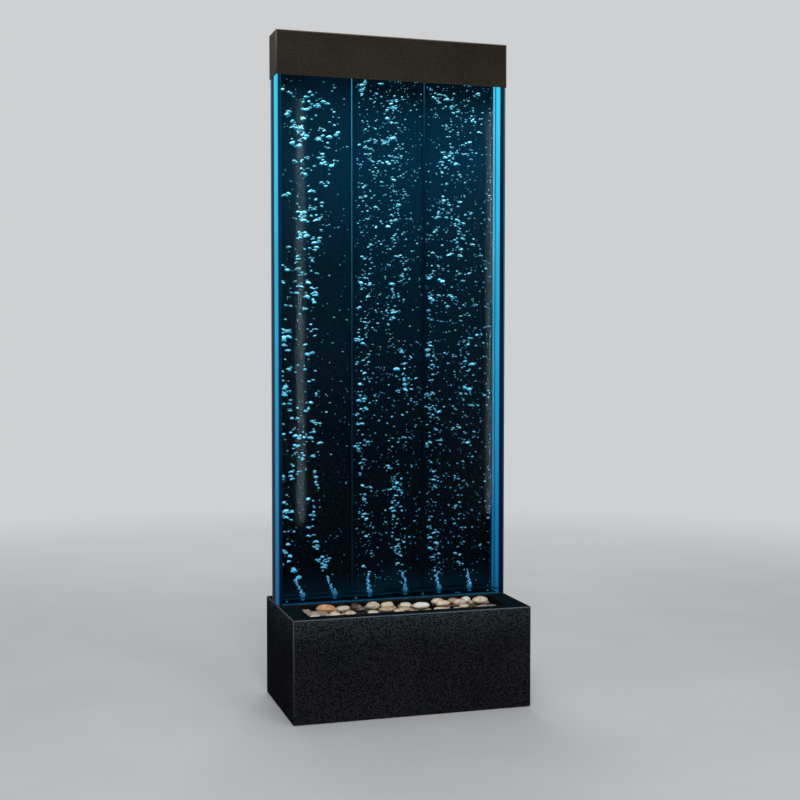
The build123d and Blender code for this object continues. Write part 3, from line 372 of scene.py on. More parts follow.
# The bars' other faces: place from front to back, and colour
INNER_STOPS = (
    (0.0, LIT_SIDE), (0.24, LIT), (0.30, (0.03, 0.52, 0.84)), (0.36, (0.055, 0.63, 0.90)),
    (0.41, (0.055, 0.63, 0.90)), (0.45, DEEP_BLUE), (0.53, DEEP_BLUE), (0.58, (0.12, 0.56, 0.80)),
    (0.70, (0.16, 0.62, 0.84)), (0.76, (0.02, 0.12, 0.18)), (0.84, (0.001, 0.022, 0.042)),
    (1.0, (0.001, 0.030, 0.055)),
)
OUTER_STOPS = (
    (0.0, (0.02, 0.36, 0.64)), (0.06, (0.02, 0.38, 0.66)), (0.12, (0.055, 0.62, 0.92)),
    (0.34, LIT), (0.42, (0.010, 0.14, 0.25)), (0.48, (0.001, 0.022, 0.048)),
    (0.88, (0.001, 0.018, 0.040)), (0.92, (0.03, 0.15, 0.24)), (1.0, (0.035, 0.18, 0.28)),
)
# How the light turns bluer: share of the height from the tank's floor to the cap, and tint
COOL_STOPS = (
    (0.0, (0.28, 0.64, 1.0)), (0.15, (0.32, 0.67, 1.0)), (0.38, (0.42, 0.79, 1.0)),
    (0.65, (0.66, 0.91, 1.0)), (0.9, (0.85, 1.0, 1.0)),
)
# The lit water in front of the back sheet, painted on it as a glow: share of the height, and colour
WATER_GLOW_STOPS = (
    (0.0, (0.0008, 0.0080, 0.0150)), (0.04, (0.0003, 0.0018, 0.0033)),
    (0.28, (0.0004, 0.0023, 0.0042)), (0.40, (0.0005, 0.0045, 0.0087)),
    (0.63, (0.0006, 0.0097, 0.0202)), (0.85, (0.0008, 0.0237, 0.0510)),
    (0.94, (0.0008, 0.0200, 0.0420)), (1.0, (0.0005, 0.0058, 0.0112)),
)
# Where painted shade darkens that glow towards the left end and, lower down, towards the right end
DARK_LEFT_X, DARK_RIGHT_X = -0.1, 0.17
# Bubbles: from undersides to upper rims, and colour
BUBBLE_STOPS = (
    (0.0, (0.001, 0.03, 0.07)), (0.22, (0.003, 0.09, 0.19)), (0.44, (0.012, 0.26, 0.48)),
    (0.60, (0.045, 0.50, 0.78)), (0.76, (0.25, 0.88, 1.0)), (0.9, (0.70, 1.0, 1.0)),
    (1.0, (0.35, 0.90, 1.0)),
)
# Width of the lit lines along the front, the back and the foot of the tank's floor
FRONT_LINE, BACK_LINE, FOOT_LINE = 0.005, 0.006, 0.003
PANEL_IOR, FLOOR_IOR = 1.05, 1.08


def height_share(t):
    """How high a point lies between the tank's floor, 0, and the underside of the cap, 1."""
    return t.span(t.place()[2], FLOOR_TOP, GLOW_TOP)


def depth_light(t, top, bottom, curve=1.0):
    """How lit the tank is at a height."""
    return t.span(t.maths("POWER", height_share(t), curve), 0, 1, bottom, top)


def cooler(t):
    """The light turns bluer on its way down the acrylic."""
    return t.ramp(height_share(t), COOL_STOPS)


def bar_level(t):
    """How bright the bars are at a height, with faint ripples."""
    ripple = t.noise(14, rough=0.6, stretch=(1, 1, 0.25))
    return t.times(depth_light(t, 1.0, 0.27, 0.85), t.vary(ripple, 0.88, 1.08))


def facing_look(t):
    """The bars' front faces, as seen through the front panel: colour by how far out they are."""
    x = t.place()[0]
    outward = t.span(t.size(x), INNER_X, OUTER_X)
    left, right = t.ramp(outward, LEFT_FRONT_STOPS), t.ramp(outward, RIGHT_FRONT_STOPS)
    return t.mix(t.above(x, 0.0), left, right)


def bar_material(name):
    """A side bar of the tank: its inner face glows, its outer face is navy with a bright stripe."""
    t = Tree(name)
    x, y, _ = t.place()
    streak = t.noise(90, detail=2, stretch=(1, 1, 0.02))
    deep = t.span(t.plus(y, t.vary(streak, -0.0015, 0.0015)), INNER_FRONT, INNER_BACK)
    is_inner = t.below(t.size(x), (INNER_X + OUTER_X) / 2)
    is_front = t.below(y, INNER_FRONT + FACE_SLACK)
    is_front = t.times(is_front, t.above(t.size(t.normal()[1]), FACING_SHARE))
    colour = t.mix(is_inner, t.ramp(deep, OUTER_STOPS), t.ramp(deep, INNER_STOPS))
    colour = t.tinted(t.mix(is_front, colour, facing_look(t)), cooler(t))
    base = t.surface(LIT_BASE, t.vary(streak, 0.05, 0.1), Specular_IOR_Level=LIT_GLOSS)
    return t.done(t.lit(base, colour, bar_level(t)))


def front_panel_material():
    """Clear sheet with a weak gloss and glowing sawn edges, glued to the lit bars."""
    t = Tree("front_acrylic")
    x, y, _ = t.place()
    smear = t.noise(7)
    clear = t.clear((0.97, 0.99, 1.0))
    pane = t.polished(clear, t.vary(smear, 0.04, 0.05), PANEL_IOR, distribution="BECKMANN")
    sawn = t.span(t.size(t.normal()[0]), SAWN_FACING_SHARE, 0.9)
    glued = t.times(t.above(t.size(x), INNER_X), t.above(y, INNER_FRONT - FACE_SLACK))
    sawn_glow = t.mix(t.below(x, 0.0), (0.012, 0.08, 0.13), LIT)
    colour = t.tinted(t.mix(glued, sawn_glow, facing_look(t)), cooler(t))
    base = t.surface((0.002, 0.012, 0.02), 0.2, Specular_IOR_Level=LIT_GLOSS)
    lit = t.lit(base, colour, bar_level(t))
    return t.done(t.blend(t.most(sawn, glued), pane, lit))


def back_panel_material():
    """Gloss black sheet: the lit water's navy is painted on its inner face as a glow, with painted
    shade towards both ends, and its sawn edges glow; its back stays black.
    """
    t = Tree("back_acrylic")
    x, y, _ = t.place()
    nx, ny, _ = t.normal()
    cloud = t.noise(5, rough=0.55)
    share = t.plus(height_share(t), t.vary(cloud, -0.02, 0.02))
    shifted = t.plus(x, t.vary(cloud, -0.03, 0.03))
    # Painted glow of the lit water, darkened by painted shade towards the ends
    water = t.tinted(t.ramp(share, WATER_GLOW_STOPS), t.span(shifted, -INNER_X, DARK_LEFT_X, 0.62, 1.0))
    lower_down = t.span(share, 0.72, 0.86, 0.36, 0.0)
    water = t.mix(t.times(t.span(x, DARK_RIGHT_X, INNER_X), lower_down), water, BLACK)
    sawn = t.above(t.size(nx), SAWN_FACING_SHARE)
    level = t.mix(sawn, WHITE, depth_light(t, 1.0, 0.1))
    colour = t.tinted(t.mix(sawn, water, (0.05, 0.16, 0.21)), level)
    wet_rough = t.vary(cloud, 0.10, 0.2)
    wet = t.surface((0.0004, 0.0005, 0.0008), wet_rough, Specular_IOR_Level=0.005)
    smudge = t.noise(16, detail=4, rough=0.6)
    hairline = t.noise(160, detail=2, stretch=(0.15, 1, 1.6))
    smudged = t.span(smudge, 0.45, 0.75)
    dry_colour = t.mix(smudged, (0.0035, 0.0042, 0.0050), (0.0085, 0.0100, 0.0115))
    dry_rough = t.plus(t.vary(smudge, 0.14, 0.30), t.span(hairline, 0.5, 0.7, 0.0, 0.08))
    dry = t.surface(dry_colour, dry_rough, Specular_IOR_Level=0.5)
    behind = t.times(t.above(y, BACK_FACE - 2 * FACE_SLACK), t.above(t.size(ny), FACING_SHARE))
    return t.done(t.blend(behind, t.lit(wet, colour), dry))


def clear_material(name, tint, share):
    """Clear acrylic of a divider or lid, with a share of it milky."""
    t = Tree(name)
    smear = t.noise(12)
    milk = t.surface(tint, 0.12, Specular_IOR_Level=0.01)
    milky = t.vary(smear, share * 0.7, share * 1.3)
    return t.done(t.blend(milky, t.clear((0.93, 0.97, 1.0)), milk))


def bead_material():
    """Solvent-weld beads in the tank's corners, which catch the edge light; the left one most."""
    t = Tree("weld_beads")
    patches = t.noise(60, rough=0.6, stretch=(1, 1, 0.12))
    left = t.below(t.place()[0], 0.0)
    strong = depth_light(t, 1.0, 0.04, 3.0)
    weak = depth_light(t, 0.26, 0.004, 10.0)
    level = t.times(t.mix(left, weak, strong), t.vary(patches, 0.6, 1.25))
    base = t.surface((0.0, 0.002, 0.003), 0.3, Specular_IOR_Level=0.001)
    return t.done(t.lit(base, (0.03, 0.34, 0.56), level))


def floor_material():
    """Clear tank floor on a black gasket, with lit lines along its edges."""
    t = Tree("floor_acrylic")
    _, y, z = t.place()
    upward = t.normal()[2]
    patches = t.vary(t.noise(25, rough=0.6, stretch=(1, 0.2, 1)), 0.5, 1.2)
    front = t.span(y, INNER_FRONT, INNER_FRONT + FRONT_LINE, 1.0, 0.0)
    back = t.span(y, INNER_BACK - BACK_LINE, INNER_BACK, 0.0, 0.9)
    foot = t.span(z, FLOOR_FOOT, FLOOR_FOOT + FOOT_LINE, 1.0, 0.02)
    dark = t.surface((0.001, 0.004, 0.006), 0.3, Specular_IOR_Level=0.05)
    under = t.lit(dark, (0.006, 0.14, 0.30), t.times(t.most(front, back), patches))
    clear = t.clear((0.85, 0.93, 0.97))
    sides = t.lit(clear, (0.006, 0.13, 0.28), t.times(foot, patches))
    upper = t.blend(t.above(upward, FACING_SHARE), sides, t.polished(clear, 0.12, FLOOR_IOR))
    return t.done(t.blend(t.below(upward, -FACING_SHARE), upper, under))


def bubble_material():
    """Bubbles with painted light from above: bright upper rims, blue bodies and dark undersides."""
    t = Tree("lit_bubbles")
    sideways, _, upward = t.normal()
    speckle = t.noise(330, detail=2)
    lean = t.plus(upward, t.vary(speckle, -0.55, 0.55))
    # Painted light from the left: faces turned left are lighter
    lean = t.plus(lean, t.times(sideways, -0.25))
    colour = t.ramp(t.span(lean, -1, 1), BUBBLE_STOPS)
    # Painted reflection: rims seen edge-on turn a brighter blue
    rim = t.add("ShaderNodeLayerWeight")
    rim.inputs["Blend"].default_value = 0.35
    colour = t.mix(t.span(rim.outputs["Facing"], 0.45, 0.9, 0.0, 0.7), colour, (0.08, 0.55, 0.82))
    own = t.span(t.island(), 0, 1, 0.6, 1.6)
    base = t.surface((0.0, 0.01, 0.015), 0.5, Specular_IOR_Level=0.0)
    shade = t.tinted(colour, cooler(t), 0.7)
    material = t.done(t.lit(base, shade, t.times(depth_light(t, 1.2, 0.55), own)))
    material.cycles.emission_sampling = "NONE"
    return material


def stone_material():
    """River pebbles, each with its own tint, mottled and faintly veined."""
    t = Tree("river_pebbles")
    tint = t.add("ShaderNodeAttribute", attribute_name="stone_tint").outputs["Color"]
    blotch = t.noise(70, detail=4, rough=0.6)
    fine = t.noise(420, detail=4, rough=0.65)
    band = t.noise(45, rough=0.6, stretch=(1, 1.4, 5))
    browner, darker = t.tinted(tint, (0.66, 0.50, 0.38)), t.tinted(tint, (0.40, 0.32, 0.28))
    colour = t.mix(t.span(blotch, 0.4, 0.62, 0, 0.7), tint, browner)
    colour = t.mix(t.span(band, 0.56, 0.62, 0, 0.35), colour, (0.78, 0.70, 0.60))
    colour = t.mix(t.span(fine, 0.58, 0.72, 0, 0.5), colour, darker)
    normal = t.bump(fine, 0.2, 0.0004)
    rough = t.vary(blotch, 0.30, 0.5)
    return t.done(t.surface(colour, rough, normal=normal, Specular_IOR_Level=0.4))


def board_material():
    """White circuit board with faint traces."""
    t = Tree("circuit_board")
    trace = t.cells(260, feature="DISTANCE_TO_EDGE", stretch=(1, 4, 1))
    lines = t.span(trace, 0.02, 0.05, 1.0, 0.0)
    colour = t.mix(lines, (0.72, 0.75, 0.74), (0.50, 0.56, 0.52))
    rough = t.vary(t.noise(500, rough=0.6), 0.35, 0.5)
    return t.done(t.surface(colour, rough, normal=t.bump(lines, 0.3, 0.0001)))


def lamp_material(name, colour, strength, base):
    """A lens, chip or fitting that gives off light, with a fine grain."""
    t = Tree(name)
    dots = t.noise(300, detail=2)
    shell = t.surface(base, 0.3, normal=t.bump(dots, 0.1, 0.0002))
    return t.done(t.lit(shell, colour, t.vary(dots, 0.8 * strength, 1.1 * strength)))


def copper_material():
    """Enamelled wire, wound in turns one above the other."""
    t = Tree("coil_copper")
    turns = t.add("ShaderNodeTexWave", wave_type="BANDS", bands_direction="Z")
    t.link(t.coord, turns.inputs["Vector"])
    turns.inputs["Scale"].default_value = 400
    turns.inputs["Distortion"].default_value = 0.4
    lines = turns.outputs["Fac"]
    colour = t.mix(lines, (0.30, 0.11, 0.04), (0.72, 0.34, 0.16))
    return t.done(t.surface(colour, t.span(lines, 0, 1, 0.5, 0.3), 0.9, t.bump(lines, 0.4, 0.0004)))


def hose_material():
    """Soft clear vinyl, slightly cloudy."""
    t = Tree("hose_pvc")
    haze = t.noise(60, rough=0.6)
    fine = t.noise(600, detail=2)
    colour = t.mix(t.vary(haze), (0.42, 0.48, 0.50), (0.62, 0.68, 0.70))
    normal = t.bump(fine, 0.1, 0.0002)
    rough = t.vary(fine, 0.22, 0.38)
    return t.done(t.surface(colour, rough, normal=normal, Transmission_Weight=0.25))


def air_stone_material():
    """Sintered stone with open pores, lit by the tank."""
    t = Tree("sintered_stone")
    pores = t.cells(900)
    colour = t.mix(t.span(pores, 0.1, 0.6), (0.010, 0.05, 0.09), (0.04, 0.14, 0.22))
    rough = t.span(pores, 0, 1, 0.75, 0.95)
    base = t.surface(colour, rough, normal=t.bump(pores, 0.6, 0.0004))
    return t.done(t.lit(base, colour, 0.8))


# Materials by the record's slot, and by the node where it has one of its own
SLOT_MATERIALS = {
    "black_powder_coat": powder_coat(
        "black_powder_coat", (0.0, 0.0001, 0.0003), (0.0225, 0.0235, 0.0275), 0.6,
        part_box("base_cabinet"), grain_scale=260, soft=0.05, gloss=0.0, spill=(0.020, 0.034, 0.038),
    ),
    "bronze_powder_coat": powder_coat(
        "bronze_powder_coat", (0.0050, 0.0040, 0.0030), (0.0460, 0.0370, 0.0275), 0.5,
        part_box("top_cap"), grain_scale=400, soft=0.085, gloss=0.02,
    ),
    "galvanised_steel": spangled_steel("galvanised_steel"),
    "screw_steel": brushed_metal(
        "screw_steel", (0.38, 0.38, 0.39), (0.66, 0.66, 0.67), stretch=(1, 1, 1), rough=0.22,
    ),
    "aluminium": brushed_metal(
        "aluminium", (0.55, 0.56, 0.57), (0.78, 0.79, 0.80), stretch=(0.02, 1, 1), rough=0.28,
    ),
    "black_rubber": moulded(
        "black_rubber", (0.010, 0.010, 0.011), (0.024, 0.024, 0.025), 700, 0.72, bump=0.3,
    ),
    "tray_plastic": moulded(
        "tray_plastic", (0.003, 0.0035, 0.004), (0.008, 0.0085, 0.010), 500, 0.6, gloss=0.03,
    ),
    "grey_plastic": moulded("grey_plastic", (0.13, 0.14, 0.15), (0.19, 0.20, 0.21), 600, 0.42),
    "black_plastic": moulded(
        "black_plastic", (0.012, 0.012, 0.013), (0.026, 0.026, 0.028), 800, 0.45,
    ),
    "red_plastic": moulded("red_plastic", (0.35, 0.018, 0.014), (0.50, 0.035, 0.025), 600, 0.32),
    "black_acrylic": back_panel_material(),
    "clear_acrylic": clear_material("clear_acrylic", (0.35, 0.60, 0.70), 0.12),
    "hose_pvc": hose_material(),
    "air_stone": air_stone_material(),
    "river_stone": stone_material(),
    "coil_copper": copper_material(),
    "circuit_board": board_material(),
    "led_chip": lamp_material("led_chip", (0.35, 0.95, 1.0), 3.0, (0.8, 0.85, 0.7)),
    "led_lens": lamp_material("led_lens", (0.10, 0.70, 0.95), 1.2, (0.6, 0.85, 0.9)),
}
divider_look = clear_material("divider_acrylic", (0.004, 0.02, 0.03), 0.06)
NODE_MATERIALS = {
    "tank_front_panel": front_panel_material(),
    "tank_side_left": bar_material("left_bar"),
    "tank_side_right": bar_material("right_bar"),
    "divider_left": divider_look,
    "divider_right": divider_look,
    "tank_floor": floor_material(),
    "air_outlets": lamp_material("outlet_acrylic", (0.006, 0.13, 0.26), 0.7, (0.003, 0.012, 0.02)),
    "drain_pipe": moulded(
        "drain_pvc", (0.010, 0.014, 0.018), (0.022, 0.028, 0.034), 600, 0.4, gloss=0.1,
    ),
}
for sub in frame["record"]["subparts"]:
    material = NODE_MATERIALS.get(sub["node"]) or SLOT_MATERIALS[sub["material_slot"]]
    for material_slot in nodes[sub["node"]].material_slots:
        material_slot.material = material


# Pieces
def mesh_of(name, bm):
    mesh = bpy.data.meshes.new(name)
    bm.to_mesh(mesh)
    bm.free()
    return mesh


def add_piece(name, mesh, material):
    """Puts a mesh into the scene as a piece of the base."""
    mesh.materials.append(material)
    piece = bpy.data.objects.new(name, mesh)
    scene.collection.objects.link(piece)
    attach(piece, "base")
    return piece


# Stones: the tray's solids, worn lumpy and tinted one by one
CREAM, LIGHT, SAND = (0.93, 0.80, 0.62), (0.95, 0.89, 0.79), (0.86, 0.69, 0.51)
TAN, ORANGE, PINK = (0.62, 0.45, 0.32), (0.78, 0.42, 0.20), (0.70, 0.54, 0.46)
GREY_PINK, DARK_BROWN = (0.44, 0.36, 0.32), (0.085, 0.045, 0.028)
DARK_GREY = (0.085, 0.075, 0.072)
# Share along the tray, share across it from the front, and tint of the stones on top
TOP_TINTS = (
    (0.08, 0.58, ORANGE), (0.18, 0.62, LIGHT), (0.27, 0.82, DARK_BROWN), (0.36, 0.81, CREAM),
    (0.44, 0.80, CREAM), (0.54, 0.77, LIGHT), (0.62, 0.77, SAND), (0.72, 0.82, CREAM),
    (0.81, 0.84, TAN), (0.88, 0.81, LIGHT), (0.96, 0.66, CREAM), (0.05, 0.27, GREY_PINK),
    (0.27, 0.47, DARK_GREY), (0.41, 0.39, TAN), (0.51, 0.39, TAN), (0.60, 0.41, LIGHT),
    (0.73, 0.45, SAND), (0.82, 0.45, PINK), (0.95, 0.21, CREAM), (0.03, 0.05, CREAM),
    (0.12, 0.19, CREAM), (0.19, 0.16, SAND), (0.32, 0.16, CREAM), (0.45, 0.05, SAND),
    (0.68, 0.09, SAND), (0.79, 0.05, CREAM),
)
LOW_TINTS = (TAN, DARK_BROWN, SAND, DARK_GREY, PINK, GREY_PINK, TAN)
# A stone whose middle is lower than this lies under the others
TOP_STONE_LOW = 0.266
# A step across the tray counts this much of one along it when a tint is looked up
ACROSS_WEIGHT = 0.3
SHADE_RANGE = (0.85, 1.1)
# Wear of the stones: mean depth, depth of the lumps, and scale and share of both lump sizes
WEAR, LUMP_DEPTH = 0.0012, 0.0022
LUMP_SCALE, SMALL_LUMP_SCALE, SMALL_LUMP_SHARE = 38, 90, 0.4
STONE_SEED, LUMP_SHIFT = 11, 50
# Points of the tray's mesh closer than this are one
SAME_POINT = 0.00001


def islands_of(bm):
    """The vertices of each loose part of a mesh."""
    seen, islands = set(), []
    for start in bm.verts:
        if start.index in seen:
            continue
        island, stack = [], [start]
        seen.add(start.index)
        while stack:
            vert = stack.pop()
            island.append(vert)
            for edge in vert.link_edges:
                other = edge.other_vert(vert)
                if other.index not in seen:
                    seen.add(other.index)
                    stack.append(other)
        islands.append(island)
    return islands


def stone_tint(centre, rng):
    """The tint listed nearest to a stone on top, or a dull one for a stone lower down."""
    along = (centre.x - tray_low.x) / (tray_high.x - tray_low.x)
    across = (centre.y - tray_low.y) / (tray_high.y - tray_low.y)
    if centre.z < TOP_STONE_LOW:
        return rng.choice(LOW_TINTS)
    return min(
        TOP_TINTS, key=lambda row: math.hypot(row[0] - along, ACROSS_WEIGHT * (row[1] - across))
    )[2]


def river_stones():
    bm = bmesh.new()
    bm.from_mesh(nodes["pebbles"].data)
    bmesh.ops.remove_doubles(bm, verts=bm.verts, dist=SAME_POINT)
    bm.verts.ensure_lookup_table()
    tints = {}
    rng = random.Random(STONE_SEED)
    for island in islands_of(bm):
        centre = sum((v.co for v in island), Vector()) / len(island)
        tint = stone_tint(centre, rng)
        shade = rng.uniform(*SHADE_RANGE)
        shift = Vector([rng.uniform(0, LUMP_SHIFT) for _ in range(3)])
        for vert in island:
            arm = vert.co - centre
            lump = noise.noise(arm * LUMP_SCALE + shift)
            lump += SMALL_LUMP_SHARE * noise.noise(arm * SMALL_LUMP_SCALE + shift)
            vert.co -= arm.normalized() * max(0.0, WEAR + LUMP_DEPTH * lump)
            tints[vert.index] = tuple(c * shade for c in tint)
    mesh = mesh_of("river_stones", bm)
    piece = add_piece("river_stones", mesh, SLOT_MATERIALS["river_stone"])
    colours = mesh.color_attributes.new("stone_tint", "FLOAT_COLOR", "POINT")
    for index, tint in tints.items():
        colours.data[index].color = (*tint, 1)
    for face in mesh.polygons:
        face.use_smooth = True
    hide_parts("pebbles")


# The camera's axes, and the photo's focal length in pixels
FORWARD = Vector((
    math.sin(CAMERA_YAW) * math.cos(CAMERA_PITCH), math.cos(CAMERA_YAW) * math.cos(CAMERA_PITCH),
    -math.sin(CAMERA_PITCH),
))
RIGHT = Vector((math.cos(CAMERA_YAW), -math.sin(CAMERA_YAW), 0))
UP = RIGHT.cross(FORWARD)
FOCAL = CAMERA_LENS / SENSOR_WIDTH * IMAGE_SIZE
# Width of one photo pixel at the tank
PIXEL = 0.00285


def at_pixel(column, row, y):
    """The point of the upright plane at depth y that the photo shows at a pixel."""
    ray = FORWARD + RIGHT * ((column - IMAGE_SIZE / 2) / FOCAL) - UP * ((row - IMAGE_SIZE / 2) / FOCAL)
    origin = Vector(CAMERA_PLACE)
    return origin + ray * ((y - origin.y) / ray.y)


# The six streams, two to a chamber: (row, column) along each one's middle, from its stone upwards
STREAMS = (
    ((594, 302), (575, 293), (556, 289), (512, 288), (475, 290), (455, 296), (430, 291),
     (391, 286), (357, 287), (331, 290), (285, 293), (216, 299), (130, 300), (80, 300)),
    ((591, 334), (574, 326), (558, 322), (530, 311), (495, 312), (470, 315), (436, 313),
     (411, 310), (380, 309), (313, 311), (260, 313), (215, 320), (184, 322), (150, 327),
     (100, 319), (80, 321)),
    ((589, 369), (560, 368), (545, 370), (505, 364), (460, 363), (430, 361), (400, 364),
     (345, 365), (300, 363), (250, 367), (200, 364), (140, 364), (80, 366)),
    ((587, 405), (563, 402), (545, 399), (510, 395), (487, 396), (463, 397), (440, 403),
     (415, 405), (396, 401), (377, 400), (345, 394), (312, 392), (288, 397), (262, 400),
     (215, 394), (165, 390), (108, 393), (80, 391)),
    ((585, 438), (553, 434), (523, 432), (463, 432), (411, 432), (355, 432), (320, 438),
     (277, 434), (235, 436), (190, 440), (150, 449), (108, 446), (80, 442)),
    ((584, 470), (565, 466), (540, 460), (500, 457), (461, 459), (420, 458), (393, 461),
     (320, 463), (258, 461), (213, 459), (158, 466), (80, 468)),
)
# Half width of each stream, in photo pixels, just above its stone and at the top
STREAM_SPREADS = ((2, 12), (2, 9), (1.5, 8), (2, 11), (1.5, 12), (2, 13))
# The large puffs that stand out in the photo: column, row and how many bubbles
PUFFS = (
    (300, 130, 11), (292, 138, 6), (299, 217, 13), (310, 213, 6), (322, 133, 6), (324, 167, 6),
    (303, 161, 4), (297, 284, 6), (284, 333, 6), (284, 392, 9), (312, 435, 7), (293, 437, 4),
    (298, 456, 6), (287, 475, 6), (287, 512, 8), (323, 559, 8), (288, 557, 6), (393, 104, 8),
    (391, 160, 9), (376, 161, 5), (392, 312, 9), (402, 377, 6), (397, 487, 7), (394, 506, 7),
    (399, 546, 9), (405, 437, 5), (382, 140, 4), (438, 97, 7), (448, 108, 7), (450, 154, 6),
    (447, 163, 5), (445, 201, 5), (432, 236, 4), (432, 300, 4), (431, 355, 6), (432, 411, 7),
    (458, 240, 4), (434, 548, 4),
)
PUFF_SPREAD, PUFF_SHARE = (4.2, 3.4), 1.4
# Rows of the photo where the water ends, and where drifting bubbles and streams begin
TOP_ROW, DRIFT_ROW, FOOT_ROW = 79, 548, 588
# Each chamber: its span in X, its photo columns, how large its bubbles are, how far apart their
# bursts are, and how many bubbles and specks drift in it
CHAMBER_SPANS = (
    (-INNER_X, -divider_high.x), (-divider_low.x, divider_low.x), (divider_high.x, INNER_X),
)
CHAMBER_COLUMNS = ((283, 348), (356, 420), (427, 490))
CHAMBER_SIZES = (1.42, 1.05, 1.0)
CHAMBER_STEPS = (1.3, 1.0, 1.0)
DRIFTERS = (90, 290, 270)
SPECKS = (170, 560, 560)
FIRST_SEED = 40
# How drifting bubbles and specks gather towards the top, and how far specks pass the columns
DRIFT_POWER, SPECK_POWER, SPECK_MARGIN = 1.15, 1.1, 2
# Widths in photo pixels: of drifting bubbles, of specks and of the braid above a stone
DRIFTER_WIDTHS, SPECK_WIDTHS, BRAID_WIDTHS = (1.2, 2.8), (0.6, 1.4), (1.6, 3.0)
# Streams and puffs: least width, what a gamma draw adds, the draw's shape and scale, most width
LEAST_WIDTH, ADDED_WIDTH, WIDTH_SHAPE, WIDTH_SCALE, MOST_WIDTH = 1.45, 1.05, 2.0, 0.58, 6.6
# Bubbles wider than this get the finest ball
FINE_WIDTH = 3.4
SPECK_BALL, PLAIN_BALL, FINE_BALL = 1, 2, 3
# A bubble's form: height as a share of its width, the shares of that above and below its
# middle, and its depth as a share of its width
FLATNESS, BRAID_FLATNESS, SPECK_FLATNESS = (0.25, 0.50), 0.9, 0.8
DOME_SHARE, DISH_SHARE, DEEP_SHARE = 0.62, 0.36, 0.8
# Its dents, its sag towards both ends and its tilt
WAVE_RATE, WAVE_PHASE, WAVE_DEPTH = 2.6, 6.3, 0.09
SAG, TILT = 0.5, 0.32
# Least gap between a bubble and the tank's walls
WALL_GAP = 0.0012
# Streams: the share of their rise that is a braid, its step and sway, then how they burst
BRAID_SHARE, BRAID_STEP, BRAID_SWAY = 0.03, 1.3, 0.9
BURST_CHANCE, BURST_SIZE, BURST_SWAY = 0.66, 1.5, 0.6
STEP_RANGE, FOOT_STEP, FOOT_STEP_LOSS = (1.6, 5.4), 1.5, 0.55
# How they widen on their way up, and how far a burst spreads along columns and rows
WIDENING, WIDENING_POWER = 2.2, 0.8
BURST_SPREAD, BURST_SPREAD_SHARE, BURST_ROWS = 1.8, 0.1, 1.5


def ball(level):
    """Points and triangles of a unit icosphere."""
    bm = bmesh.new()
    bmesh.ops.create_icosphere(bm, subdivisions=level, radius=1.0)
    points = np.array([v.co for v in bm.verts])
    faces = np.array([[v.index for v in f.verts] for f in bm.faces])
    bm.free()
    return points, faces


BALLS = {level: ball(level) for level in (SPECK_BALL, PLAIN_BALL, FINE_BALL)}


